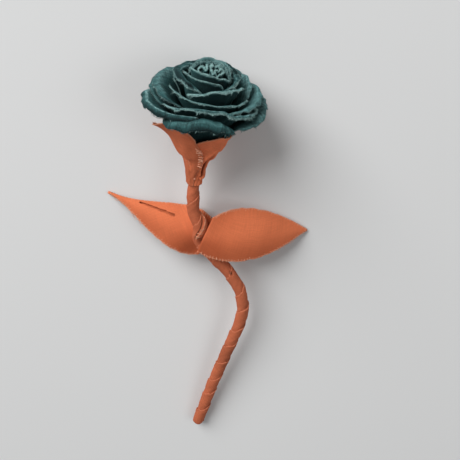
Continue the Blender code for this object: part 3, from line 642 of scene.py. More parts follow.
class Fibres:
    """Collects thin ribbons and threads in the standing rose's frame, then makes one mesh of them."""

    def __init__(self, seed):
        self.rng = np.random.default_rng(seed)
        self.points, self.faces, self.shades, self.total = [], [], [], 0
        self.shade, self.speckle, self.runs = 0.0, 0.0, 0

    def speckled(self, at):
        """Shades of fibres along an edge: the painted shade set for the edge, darker and paler at random from
        place to place.
        """
        self.runs += 1
        uneven = Ripple(SPECKLE_SEED + self.runs, *SPECKLE_WAVES)(at)
        return np.clip(self.shade + self.speckle * uneven, 0.0, 1.0)

    def lengths(self, tuft, spread, even, change, least, most):
        """Uneven shares of a length, larger where the tufts are thick."""
        return np.exp(self.rng.normal(0, spread, len(tuft))) * np.clip(even + change * tuft, least, most)

    def add(self, points, faces, shade=None):
        self.points.append(points)
        self.shades.append(np.full(len(points), self.shade if shade is None else shade))
        self.faces += [tuple(i + self.total for i in face) for face in faces]
        self.total += len(points)

    def fray_edge(self, kind, edge, outward, normal, **looks):
        """Frayed fibres and thread ends along an edge."""
        per_mm, length, pitch, reach = FRAYING[kind]
        self.fringe(edge, outward, normal, per_mm, length, **looks)
        self.thread_ends(edge, outward, normal, pitch, reach)

    def fringe(self, edge, outward, normal, per_mm, length, spread=0.45, lift=0.35, width=0.085):
        """Frayed fibres along an edge, in uneven tufts."""
        rng = self.rng
        total = run_along(edge)[-1]
        count = int(total * per_mm)
        if count < 2:
            return
        at = np.sort(rng.uniform(0, total, count))
        tuft = Ripple(int(rng.integers(1 << 30)), *TUFT_WAVES)(at)
        root, out, up, side = spots_along(at, edge, outward, normal)
        reach = length * self.lengths(tuft, *FIBRE_LENGTHS)
        sway = rng.normal(0, spread, (count, 1))
        sway = sway + 0.5 * Ripple(int(rng.integers(1 << 30)), *WORN_WAVES)(at)[:, None]
        aim = unit(out + side * sway + up * rng.normal(0, lift, (count, 1)))
        bend = unit(aim + side * rng.normal(0, 0.5, (count, 1)) + up * rng.normal(0, 0.5, (count, 1)))
        beside = rng.uniform(-FIBRE_ROOT_SPREAD, FIBRE_ROOT_SPREAD, (count, 1))
        root = root - out * FIBRE_ROOT + up * beside
        middle = root + aim * (reach * 0.55 + FIBRE_ROOT)[:, None]
        tip = middle + bend * (reach * 0.5)[:, None]
        flat = unit(np.cross(aim, rng.normal(0, 1, (count, 3)))) * (width / 2)
        grid = np.stack([root - flat, root + flat, middle - flat * 0.8, middle + flat * 0.8, tip], axis=1)
        for points, shade in zip(grid, self.speckled(at)):
            self.add(points, ((0, 1, 3, 2), (2, 3, 4)), shade)

    def thread_ends(self, edge, outward, normal, pitch, length, radius=0.11):
        """Ends of the weave's own threads, standing out unevenly from a raw edge."""
        rng = self.rng
        total = run_along(edge)[-1]
        count = int(total / pitch)
        if count < 2:
            return
        at = (np.arange(count) + rng.uniform(0.2, 0.8, count)) * total / count
        worn = Ripple(int(rng.integers(1 << 30)), *WORN_WAVES)(at)
        keep = rng.uniform(0, 1, count) < THREAD_ENDS_LEFT[0] + THREAD_ENDS_LEFT[1] * worn
        at, worn = at[keep], worn[keep]
        root, out, up, side = spots_along(at, edge, outward, normal)
        one = (len(at), 1)
        reach = length * self.lengths(worn, *THREAD_END_LENGTHS)
        lean = rng.normal(0, 0.35, one)
        aim = unit(out + side * lean + up * rng.normal(0, 0.35, one))
        bend = unit(aim + side * (lean + rng.normal(0, 0.6, one)) + up * rng.normal(0, 0.5, one))
        start = root - out * THREAD_END_ROOT + up * rng.uniform(-0.12, 0.16, one)
        middle = root + aim * (0.5 * reach)[:, None]
        tip = middle + bend * (0.5 * reach)[:, None]
        turns = 2 * np.pi * np.arange(4) / 4
        ring = np.cos(turns)[:, None, None] * side + np.sin(turns)[:, None, None] * up
        sizes = (radius, radius * 1.1, radius * 0.45)
        rings = [centre + size * ring for centre, size in zip((start, middle, tip), sizes)]
        grid = np.stack(rings).transpose(2, 0, 1, 3).reshape(len(at), 12, 3)
        for points, shade in zip(grid, self.speckled(at)):
            self.add(points, tube_faces(3, 4), shade)

    def thread(self, path, radius, sides=5, taper=0.0):
        """A thread along a path, with closed ends."""
        path = np.asarray(path, float)
        along = unit(np.gradient(path, axis=0))
        guide = np.array([0.3, -0.8, 0.5])
        side = unit(np.cross(along, guide))
        other = np.cross(along, side)
        turns = 2 * np.pi * np.arange(sides)[None, :, None] / sides
        size = radius * (1 - taper * np.abs(np.linspace(-1, 1, len(path))) ** 4)
        ring = np.cos(turns) * side[:, None] + np.sin(turns) * other[:, None]
        rings = path[:, None] + size[:, None, None] * ring
        self.add(rings.reshape(-1, 3), tube_faces(len(path), sides))

    def knot(self, at, out, up, lift, bob, size, steps, radius):
        """A knot: a thread wound round a point and up and down beside it."""
        turns = np.linspace(0, 5 * np.pi, steps)[:, None]
        wound = np.cos(turns) * out + np.sin(turns) * np.cross(out, up)
        self.thread(at + up * (lift + bob * np.sin(turns * 1.3)) + size * wound, radius)

    def loose_threads(self, edge, outward, normal, count, reach, radius=0.07):
        """Threads that have come away along an edge and still lie beside it."""
        rng = self.rng
        for _ in range(count):
            n = int(rng.integers(len(edge) // 12, len(edge) // 4))
            start = int(rng.integers(0, len(edge) - n))
            part = slice(start, start + n)
            t = np.linspace(0, 1, n)[:, None]
            wander = np.sin(np.pi * t) * rng.uniform(0.3, 1.0) * reach
            rise = rng.normal(0, 0.25) * np.sin(np.pi * t * rng.uniform(0.6, 1.4))
            path = edge[part] + outward[part] * (0.05 + wander) + normal[part] * rise
            self.thread(path[::2] if n > 12 else path, radius, sides=4, taper=0.6)

    def build(self, name, material, slot):
        mesh = bpy.data.meshes.new(name)
        laid = lay(np.concatenate(self.points))
        laid[:, 2] = np.maximum(laid[:, 2], FLOOR_ROOM)
        mesh.from_pydata((laid * MM).tolist(), [], self.faces)
        write_field(mesh, "shade", np.concatenate(self.shades))
        mesh.shade_smooth()
        return link(name, mesh, material, slot)


# Materials

class Nodes:
    """Short calls for building a material's nodes."""

    def __init__(self, name):
        self.material = bpy.data.materials.new(name)
        self.material.use_nodes = True
        self.tree = self.material.node_tree

    def feed(self, node, inputs):
        """Sets a node's inputs, by name or place, to values or to the outputs of other nodes."""
        for key, value in inputs.items():
            if isinstance(value, bpy.types.NodeSocket):
                self.tree.links.new(value, node.inputs[key])
            else:
                node.inputs[key].default_value = value
        return node

    def node(self, kind, inputs=(), **settings):
        made = self.tree.nodes.new("ShaderNode" + kind)
        for key, value in settings.items():
            setattr(made, key, value)
        return self.feed(made, dict(inputs))

    def surface(self, inputs):
        """Feeds the shader and gives the finished material."""
        self.feed(self.tree.nodes["Principled BSDF"], inputs)
        return self.material

    def math(self, operation, a, b=0.0, c=0.0):
        return self.node("Math", enumerate((a, b, c)), operation=operation).outputs[0]

    def times(self, a, b):
        return self.math("MULTIPLY", a, b)

    def mix(self, share, a, b, clamp=True):
        a, b = ((*c, 1.0) if isinstance(c, tuple) else c for c in (a, b))
        return self.node("Mix", {0: share, 6: a, 7: b}, data_type="RGBA", clamp_factor=clamp).outputs[2]

    def spread(self, value, low, high, to_low=0.0, to_high=1.0):
        return self.node("MapRange", enumerate((value, low, high, to_low, to_high))).outputs[0]

    def noise(self, vector, scale, detail=2.0):
        return self.node("TexNoise", {"Vector": vector, "Scale": scale, "Detail": detail}).outputs["Fac"]

    def attribute(self, name):
        return self.node("Attribute", attribute_name=name).outputs["Fac"]

    def scaled(self, vector, size):
        return self.node("VectorMath", {0: vector, 1: size}, operation="MULTIPLY").outputs[0]

    def place(self):
        return self.node("TexCoord").outputs["Object"]

    def bump(self, strength, distance, height):
        return self.node("Bump", {"Strength": strength, "Distance": distance, "Height": height}).outputs[0]


def dark(colour, share):
    return tuple(c * share for c in colour)


def linen(name, colour, deep, worn, worn_width, sheen=0.12, coarse=0.6, grain=1.0, crest=None):
    """Plain-weave linen: over-and-under threads, uneven in thickness and shade.

    The colour deepens towards deep, the painted shade colour, a crest colour paints a highlight along the
    crest, and the edge itself is worn pale. coarse is how much the threads stand out, grain how close
    their uneven places lie.
    """
    n = Nodes(name)
    flat = n.node("UVMap", uv_map="weave").outputs[0]

    def patches(across, along, detail=2.0):
        """Uneven places, so many to a millimetre across and along the cloth."""
        return n.noise(n.scaled(flat, (across, along, 1.0)), 1.0, detail)

    wobble = n.times(patches(0.35, 0.35, 1.0), 0.5)
    parts = n.node("SeparateXYZ", {"Vector": flat}).outputs
    waves = [n.math("SINE", n.times(n.math(shift, part, wobble), np.pi / THREAD_PITCH))
             for shift, part in zip(("ADD", "SUBTRACT"), parts)]
    over = n.times(*waves)
    tops = [n.times(n.math("POWER", n.math("ABSOLUTE", wave), 0.6), n.math("MULTIPLY_ADD", over, side, 0.5))
            for wave, side in zip(waves, (0.5, -0.5))]
    weave = n.math("MAXIMUM", *tops)
    slub = n.times(n.math("ADD", patches(1.9 * grain, 0.10), patches(0.09, 2.1 * grain)), 0.5)
    cloudy = patches(0.10, 0.10, 3.0)
    # Painted shade: the colour deepens towards the deep colour where this attribute rises; on the stem it
    # also carries darker dyed turns
    painted_shade_and_dye = n.math("ADD", n.attribute("painted_shade_and_dye"), n.times(cloudy, 0.5))
    dye = n.mix(n.spread(painted_shade_and_dye, *DYE_AND_SHADE_RANGE), colour, deep)
    # Painted highlight: a paler colour along the crest
    if crest:
        patchy = n.spread(patches(0.9, 0.9), *PATCHY_RANGE)
        paled = n.times(n.spread(painted_shade_and_dye, *HIGHLIGHT_RANGE), n.attribute("crest"))
        dye = n.mix(n.times(paled, patchy), dye, crest)
    tone = n.math("ADD", n.times(weave, WEAVE_TONE), n.times(slub, SLUB_TONE))
    tone = n.math("ADD", tone, n.times(cloudy, CLOUD_TONE))
    shade = n.spread(tone, *TONE_RANGE, 1.0 - 0.6 * coarse, 1.0 + 0.6 * coarse)
    body = n.mix(n.math("MAXIMUM", shade, DARKEST), (0.0, 0.0, 0.0), dye, clamp=False)
    ragged = n.math("SUBTRACT", patches(1.6, 1.6), 0.5)
    distance = n.math("ADD", n.attribute("edge"), n.times(ragged, -RAGGED_EDGE))
    # Painted shade keeps the worn edge dark on shaded cloth
    kept = n.math("SUBTRACT", 1.0, n.attribute("shade"))
    share = n.times(n.spread(distance, worn_width, 0.0, 0.0, 0.85), kept)
    height = n.math("ADD", weave, n.times(slub, 0.8))
    return n.surface({
        "Base Color": n.mix(share, body, worn), "Roughness": n.spread(slub, 0.3, 0.7, 0.80, 0.95),
        "Specular IOR Level": 0.18, "Sheen Weight": sheen, "Sheen Roughness": 0.45,
        "Sheen Tint": (*[min(1.0, c / max(colour)) for c in colour], 1.0),
        "Normal": n.bump(0.55, THREAD_RELIEF * coarse * MM, height)})


def fibre_material(name, colour, spread=0.35):
    """Loose linen fibres, uneven in tone from place to place, with painted shade where their shade attribute
    is set.
    """
    n = Nodes(name)
    patch = n.noise(n.place(), 900.0)
    pale = n.mix(n.spread(patch, 0.3, 0.7), dark(colour, 1.0 - spread), dark(colour, 1.0 + spread / 2))
    return n.surface({"Base Color": n.mix(n.attribute("shade"), pale, dark(colour, SHADED_FIBRE)),
                      "Roughness": 0.85, "Specular IOR Level": 0.2})


def wire_material():
    n = Nodes("wire_metal")
    streak = n.noise(n.scaled(n.place(), (1.0, 0.1, 1.0)), 2500.0, 3.0)
    return n.surface({"Base Color": n.mix(streak, (0.30, 0.30, 0.29), (0.50, 0.49, 0.47)),
                      "Roughness": n.spread(streak, 0.3, 0.7, 0.3, 0.5), "Metallic": 1.0,
                      "Normal": n.bump(0.3, 0.02 * MM, streak)})


# Flower

def angle_gap(theta, middle):
    return (theta - middle + 180.0) % 360.0 - 180.0


def cover(k, theta):
    """How far petal k pushes out what lies outside it: 1 over the petal, 0 well past its sides."""
    past_side = np.abs(angle_gap(theta, PETALS[k].middle)) - PETALS[k].half
    return 1.0 - smooth(past_side / (SETTLE_ANGLE - SETTLE_STEP * k))


def layer_of(k, theta):
    layer = np.zeros_like(theta)
    for i in range(k):
        layer = layer + cover(i, theta)
    return layer


def drawn_radius(k, theta):
    left, centre, right = PETALS[k].rim
    x = np.clip(angle_gap(theta, PETALS[k].middle) / PETALS[k].half, -RIM_RUN_ON, RIM_RUN_ON)
    return centre + (right - left) / 2 * x + ((left + right) / 2 - centre) * x * x


def lip_at(k, theta):
    x = np.clip(np.abs(angle_gap(theta, PETALS[k].middle)) / PETALS[k].half, 0, 1)
    return PETALS[k].lip * (1 - LIP_NARROWING * x ** LIP_NARROWING_POWER)


def rim_radius(k, theta):
    """Rim radius of petal k (or of the calyx past the last), eased out past the petals inside it."""
    radii = []
    for j in range(k + 1):
        radius = drawn_radius(j, theta) if j < len(PETALS) else np.zeros_like(theta)
        tuck = PETALS[j].tuck if j < len(PETALS) else 0.0
        for i in range(j):
            covered = cover(i, theta)
            need = radii[i] + (lip_at(i, theta) + RIM_SPARE) * covered - RIM_FREE * (1 - covered) - tuck
            radius = radius + RIM_EASE * np.logaddexp(0, (need - radius) / RIM_EASE)
        radii.append(radius)
    return radii[k]


def curve(a, b, c, d, t):
    """Place on a cubic curve from a to d, drawn towards b and c, and a third of its slope there."""
    q = 1 - t
    place = q ** 3 * a + 3 * t * q * q * b + 3 * t * t * q * c + t ** 3 * d
    return place, q * q * (b - a) + 2 * t * q * (c - b) + t * t * (d - c)


def profile(layer, rim, raised, tuck, t):
    """Radius, height and direction of a petal's profile at t from its base to its crest."""
    foot_r = BUD_BASE_RADIUS + LAYER_STEP * layer
    foot_z = BASE_HEIGHT - BASE_DROP * layer
    crest_z = DOME_TOP - DOME_DROP * (rim / DOME_RADIUS) ** DOME_POWER + raised
    foot_angle = np.radians(FOOT_LEAN[0] + FOOT_LEAN[1] * (rim + tuck))
    crest_angle = np.radians(CREST_LEAN[0] + CREST_LEAN[1] * rim)
    reach = np.hypot(rim - foot_r, crest_z - foot_z)
    r1 = foot_r + FOOT_PULL * reach * np.sin(foot_angle)
    z1 = foot_z + FOOT_PULL * reach * np.cos(foot_angle)
    r2 = rim - CREST_PULL * reach * np.sin(crest_angle)
    z2 = crest_z - CREST_PULL * reach * np.cos(crest_angle)
    r, dr = curve(foot_r, r1, r2, rim, t)
    z, dz = curve(foot_z, z1, z2, crest_z, t)
    return r, z, np.arctan2(dr, dz)


def strays(kind, k, run):
    """How far petal k strays from an even form along its rim."""
    seed, longest, shortest, count, depth = UNEVEN[kind]
    return depth * EdgeRipple(seed + k, longest, shortest, count)(run)


def petal_points(k, s, v):
    """Points of petal k in the flower's frame, with uneven rim, lip and cut edge."""
    petal = PETALS[k]
    s, v = np.broadcast_arrays(s, v)
    width = PETAL_FOOT_WIDTH + (1 - PETAL_FOOT_WIDTH) * smooth(v / 0.5)
    theta = petal.middle + petal.half * s * width
    lose = np.where(s < 0, petal.lose_left, petal.lose_right)
    rim = rim_radius(k, theta)
    run = np.radians(theta) * rim
    cut = strays("cut", k, run)
    top = 1 - lose * np.abs(s) ** SHOULDER_POWER + strays("top", k, run)
    body = 1 - LIP_SHARE
    t = np.minimum(v / body, 1.0) * top
    raised = petal.raised + petal.tilt * s
    r, z, angle = profile(layer_of(k, theta), rim, raised, petal.tuck, t)
    bend = np.radians(petal.turn) * (1 + strays("turn", k, run))
    plain = lip_at(k, theta)
    lip = plain + np.minimum(plain, WIDEST_UNEVEN_LIP) * strays("lip", k, run)
    curl_radius = LIP_CURVE * lip / bend
    curl = bend * np.clip((v - body) / LIP_SHARE, 0, 1) * (1 + cut / np.maximum(LIP_CURVE * lip, 1.0))
    along = curl_radius * np.sin(curl)
    out = curl_radius * (1 - np.cos(curl))
    r = r + along * np.sin(angle) + out * np.cos(angle)
    z = z + along * np.cos(angle) - out * np.sin(angle)
    theta = np.radians(theta)
    points = np.stack([r * np.cos(theta), r * np.sin(theta), z], axis=-1)
    dent = Ripple(DENT_SEED + k, *DENT_WAVES)(run, z) * DENT_DEPTH * smooth(v / DENTS_FROM)
    return points + grid_normals(points) * dent[..., None]


def petal_grid():
    s = np.linspace(-1.0, 1.0, PETAL_COLUMNS)[:, None]
    body = np.linspace(0.0, 1 - LIP_SHARE, PETAL_BODY_ROWS, endpoint=False)
    v = np.concatenate([body, np.linspace(1 - LIP_SHARE, 1.0, PETAL_LIP_ROWS)])[None, :]
    return s, v


def edge_distance(points):
    """Distance of each grid point from the cloth's top edge or its upper sides, in millimetres."""
    across, along = cloth_coordinates(points)
    top = along[:, -1:] - along
    side = np.minimum(across - across[:1], across[-1:] - across) + 30.0 * (1 - smooth(along / 12.0))
    return np.clip(np.minimum(top, side), 0.0, 30.0)


def rim_edges(points):
    """Top edge and both upper sides of a grid of cloth: edge, outward direction and normal."""
    normal = grid_normals(points)
    rows = points.shape[1]
    high = slice(int(rows * 0.45), rows)
    yield points[:, -1], unit(points[:, -1] - points[:, -2]), normal[:, -1]
    yield points[0, high], unit(points[0, high] - points[1, high]), normal[0, high]
    yield points[-1, high], unit(points[-1, high] - points[-2, high]), normal[-1, high]


def build_petals(material):
    fray = Fibres(11)
    fray.speckle = FRAY_SPECKLE
    made = []
    for k, petal in enumerate(PETALS):
        points = from_flower(petal_points(k, *petal_grid()))
        along = cloth_coordinates(points)[1]
        # Painted highlight along each petal's crest, and painted shade deepening away from it and towards a
        # shaded end
        crest = along[:, PETAL_BODY_ROWS:PETAL_BODY_ROWS + 1] + HIGHLIGHT_SHIFTS.get(petal.name, 0.0)
        side, start, amount = END_SHADES.get(petal.name, (1, 0.0, 0.0))
        end = smooth((side * petal_grid()[0] - start) / END_SHADE_REACH)
        worn = edge_distance(points) / petal.worn
        painted_shade_and_dye = np.abs(along - crest) / petal.reach + amount * end
        item = cloth(petal.name + "_cloth", points, material, "petal_linen", worn, WEAVE_TURN * k % 90.0,
                     painted_shade_and_dye=painted_shade_and_dye, shade=petal.darkness, crest=petal.paleness)
        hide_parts(petal.name)
        # Painted shade darkens this petal's frayed edge
        fray.shade = petal.darkness
        for rim in rim_edges(points):
            fray.fray_edge("petal", *rim)
        fray.loose_threads(*next(rim_edges(points)), *LOOSE_ON_PETAL)
        made.append((item, points))
    fray.shade = 0.0
    return made, fray


def catmull(points, per_step):
    """Smooth line through points."""
    keys = [2 * points[0] - points[1], *points, 2 * points[-1] - points[-2]]
    line = []
    for a, b, c, d in zip(keys, keys[1:], keys[2:], keys[3:]):
        for t in np.linspace(0.0, 1.0, per_step, endpoint=False):
            line.append(0.5 * (2 * b + (c - a) * t + (2 * a - 5 * b + 4 * c - d) * t ** 2
                               + (3 * b - 3 * c + d - a) * t ** 3))
    line.append(keys[-2])
    return np.array(line)


def build_centre_roll(material, fray):
    """Strip wound into uneven loops inside the bud."""
    path = catmull(np.array(ROLL_PATH), 12)
    v = np.linspace(0.0, 1.0, ROLL_ROWS)
    scale = ROLL_FOOT_SHARE + (1 - ROLL_FOOT_SHARE) * v ** ROLL_SWELL
    head = ROLL_HEAD_HEIGHT + ROLL_UNEVEN * EdgeRipple(31, *ROLL_WAVES)(run_along(path))
    head = head - ROLL_FALL * np.linalg.norm(path, axis=1) ** 2
    height = ROLL_FOOT_HEIGHT + (head[:, None] - ROLL_FOOT_HEIGHT) * v[None, :]
    flat = path[:, None, :] * scale[None, :, None]
    points = from_flower(np.concatenate([flat, height[..., None]], axis=2))
    depth = edge_distance(points)
    # Painted highlight at its rim, and painted shade deepening below it
    roll = cloth("centre_roll_cloth", points, material, "petal_linen", depth / ROLL_WORN, ROLL_WEAVE_ANGLE,
                 ROLL_THICKNESS, painted_shade_and_dye=depth / ROLL_HIGHLIGHT_REACH, crest=1.0)
    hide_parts("centre_roll")
    fray.fray_edge("roll", *next(rim_edges(points)), **ROLL_FIBRES)
    return roll, points


# Calyx

def sepal_top(theta):
    top = np.full_like(theta, CALYX_NOTCH)
    for middle, half, height, point in SEPALS:
        x = np.clip(np.abs(theta - middle) / half, 0, 1)
        rise = (1 - x ** point) ** SEPAL_SIDE
        top = np.maximum(top, CALYX_NOTCH + (height - CALYX_NOTCH) * rise)
    return top


def calyx_foot_shift():
    right, back, up = flower_axes()
    foot = np.array(FLOWER_BASE) + CALYX_FOOT_HEIGHT * up
    stem = np.array(STEM_LINE[-2])
    return float((stem - foot) @ right), float((stem - foot) @ back)


def calyx_points(share, v):
    """Points of the calyx: share runs round it, v from its foot on the stem to its top edge."""
    share, v = np.broadcast_arrays(share, v)
    run_on = share ** SEAM_POWER
    widest = SEAM[0] + (SEAM[1] - SEAM[0]) * smooth(v / SEAM_WIDEST)
    seam = widest + (SEAM[2] - SEAM[1]) * ramp(v, SEAM_WIDEST, 1)
    straight = CALYX_START + CALYX_SPAN * share
    theta = straight + seam * run_on
    at_top = straight + SEAM[2] * run_on
    count = len(PETALS)
    layer = layer_of(count, theta) + CALYX_ROOM + CALYX_LAP_LAYERS * share
    rim = rim_radius(count, theta) + CALYX_LAP_RIM * share
    climb = np.clip((v - CALYX_NECK_SHARE) / (1 - CALYX_NECK_SHARE), 0, 1) * sepal_top(at_top)
    r, z, _ = profile(layer, rim, 0.0, 0.0, climb)
    neck = np.clip(v / CALYX_NECK_SHARE, 0, 1)
    foot_radius = CALYX_FOOT_RADIUS + CALYX_LAP * share
    neck_r = foot_radius + (r - foot_radius) * neck ** CALYX_FLARE
    neck_z = CALYX_FOOT_HEIGHT + (z - CALYX_FOOT_HEIGHT) * neck
    below = v < CALYX_NECK_SHARE
    r = np.where(below, neck_r, r)
    z = np.where(below, neck_z, z)
    away = hump(angle_gap(theta, STAND_OFF[0]), STAND_OFF[1])
    stand = ramp(v, STAND_OFF_FROM, STAND_OFF_TO) * away
    curl = ramp(v, TIP_CURL_FROM, 1) * away ** TIP_CURL_POWER
    r = r + STAND_OFF[2] * stand + TIP_CURL[0] * curl
    z = z + TIP_CURL[1] * curl
    beside = hump(angle_gap(theta, UPRIGHT[0]), UPRIGHT[1]) * (share > 0.5)
    upright = ramp(v, UPRIGHT_FROM, 1) * beside
    r = r - UPRIGHT[2] * upright
    z = z + UPRIGHT[3] * upright
    bend = np.where(below, (1 - neck) ** 2, 0.0)
    shift = calyx_foot_shift()
    theta = np.radians(theta)
    return np.stack([r * np.cos(theta) + shift[0] * bend, r * np.sin(theta) + shift[1] * bend, z], axis=-1)


def pleat(points, share, v):
    """How far the calyx stands out beside its pleat, in millimetres, and how close a place is to the hollow
    under the fold, where a painted shadow goes.
    """
    path = catmull(np.array(PLEAT_PATH), 12)
    columns, rows = points.shape[:2]
    at = [np.clip((path[:, 0] * (columns - 1)).round().astype(int), 0, columns - 1),
          np.clip((path[:, 1] * (rows - 1)).round().astype(int), 0, rows - 1)]
    line = points[at[0], at[1]]
    near = (share > PLEAT_REGION[0]) & (share < PLEAT_REGION[1]) & (v < PLEAT_REGION[2])
    off = np.full(points.shape[:2], 99.0)
    chosen = np.broadcast_to(near, off.shape)
    off[chosen] = np.linalg.norm(points[chosen][:, None] - line[None], axis=2).min(axis=1)
    shares, heights = np.array(PLEAT_PATH[::-1]).T
    right = smooth((share - np.interp(v, heights, shares)) / 0.008 + 0.5)
    fold = PLEAT_FOLD[0] * bell(off, PLEAT_FOLD[1])
    hollow = -PLEAT_HOLLOW[0] * bell(off, PLEAT_HOLLOW[1])
    low = smooth((PLEAT_FLAP_TOP - v) / PLEAT_FLAP_FADE)
    flap = low * PLEAT_FLAP[0] * bell(off - PLEAT_FLAP_OFF, PLEAT_FLAP[1])
    return (1 - right) * fold + right * (hollow + flap), right * bell(off - PLEAT_DARK_OFF, 1.0)


def neck_tuck(share, v):
    total = 0.0
    for depth, middle, height, half, reach in NECK_TUCKS:
        total = total + depth * hump(share - middle, half) * hump(v - height, reach)
    return total * smooth((NECK_TUCK_TOP - v) / NECK_TUCK_FADE)


def build_calyx(material, fray, stitches):
    share = np.linspace(0.0, 1.0, CALYX_COLUMNS)[:, None]
    v = np.linspace(0.0, 1.0, CALYX_ROWS)[None, :]
    points = calyx_points(share, v)
    normal = grid_normals(points)
    across = cloth_coordinates(points)[0]
    from_lap = across[-1:] - across
    ridge, valley = seam_puckers(points[-1], v, from_lap)
    if (normal[..., :2] * points[..., :2]).sum() < 0:
        normal = -normal
    ripple = Ripple(41, *CALYX_WAVES)(share * CALYX_SIZE[0], v * CALYX_SIZE[1]) * CALYX_RIPPLE
    folds, hollow = pleat(points, share, v)
    points = points + normal * (ripple + folds + ridge - neck_tuck(share, v))[..., None]
    points = from_flower(points)
    # Painted shade on its left, low down, in the pleat's hollow and between the puckers
    (left, left_from, left_over), (low, low_from, low_over) = CALYX_SHADES
    painted_shade_and_dye = left * smooth((share - left_from) / left_over) + low * smooth((low_from - v) / low_over)
    painted_shade_and_dye = np.maximum(painted_shade_and_dye, HOLLOW_SHADE * hollow) + PUCKER_SHADE * valley
    edge = np.minimum(edge_distance(points), from_lap)
    calyx = cloth("calyx_cloth", points, material, "stem_linen", edge, 8.0, painted_shade_and_dye=painted_shade_and_dye)
    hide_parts("calyx")
    for number, rim in enumerate(rim_edges(points)):
        start = 0 if number == 0 else int(CALYX_FRAYED_FROM * len(rim[0]))
        fray.fray_edge("calyx", *(line[start:] for line in rim))
    sew_seam(points, v, stitches)
    return calyx, points


def seam_run(edge, v):
    """Length along the lap's edge, and where its stitches start and end."""
    run = run_along(edge)
    return run, *np.interp(SEAM_STITCHES, v.ravel(), run)


def seam_puckers(edge, v, from_lap):
    """How far the stitches raise the cloth, in millimetres, and how deep a place lies between two of them,
    for painted shade there.
    """
    run, start, end = seam_run(edge, v)
    phase = 2 * np.pi * (run - start) / SEAM_PITCH
    fade = SEAM_PUCKER_FADE
    sewn = smooth((run - start + fade) / fade) * smooth((end + fade - run) / fade)
    reach = smooth(1.2 - from_lap / SEAM_PUCKER_REACH)
    wave = np.cos(phase)[None, :] * sewn[None, :] * reach
    return SEAM_PUCKER * wave, np.maximum(-wave, 0.0)


def sew_seam(points, v, stitches):
    """Whip stitches over the calyx's lapping end, and the knot at their foot."""
    rng = np.random.default_rng(43)
    run, start, end = seam_run(points[-1], v)

    def spot(at, column):
        row = np.interp(at, run, np.arange(len(run)))
        low = int(row)
        line = points[-column]
        return line[low] + (row - low) * (line[low + 1] - line[low])

    for at in np.arange(start, end + 0.1, SEAM_PITCH):
        up = outward_from_axis(spot(at, 1))
        out = unit(spot(at, 1) - spot(at, 3))
        far = int(rng.integers(7, 10))
        columns = (far, far - 1, 3, 1, 1, 1)
        path = np.array([spot(at, column) + out * a + up * b for column, (a, b) in zip(columns, SEAM_STITCH)])
        stitches.thread(catmull(path, 3), SEAM_THREAD_RADIUS)
    foot = SEAM_KNOT * run[-1]
    up, out = outward_from_axis(spot(foot, 1)), unit(spot(foot, 1) - spot(foot, 3))
    stitches.knot(spot(foot, 2), out, up, lift=0.35, bob=0.15, size=0.3, steps=40, radius=0.11)


def outward_from_axis(points):
    """Directions away from the flower's axis at points of the standing rose."""
    up = flower_axes()[2]
    off = points - np.array(FLOWER_BASE)
    return unit(off - (off @ up)[..., None] * up)


# Stem

def stem_curve():
    up = flower_axes()[2]
    base = np.array(FLOWER_BASE)
    keys = [np.array(p, float) for p in STEM_LINE] + [base, base + up * WIRE_INTO_FLOWER]
    dense = catmull(keys, 40)
    run = run_along(dense)
    even = np.linspace(0.0, run[-1], int(round(run[-1])) + 1)
    return even, read_along(even, run, dense)


class Stem:
    """Positions round the stem at any length along it."""

    def __init__(self):
        self.run, self.line = stem_curve()
        self.tangent = np.gradient(self.line, self.run, axis=0)
        self.length = self.run[-1]
        self.end = self.length - WIRE_INTO_FLOWER - WRAP_SHORT_OF_FLOWER

    def at(self, s, radius, turn):
        """Points at lengths s, radii and angles in radians, all of one shape."""
        s = np.clip(s, 0.0, self.length)
        centre = read_along(s, self.run, self.line)
        along = unit(read_along(s, self.run, self.tangent))
        side = unit(np.cross([0.0, 1.0, 0.0], along))
        radius, turn = radius[..., None], turn[..., None]
        return centre + radius * (np.cos(turn) * side + np.sin(turn) * np.cross(along, side))


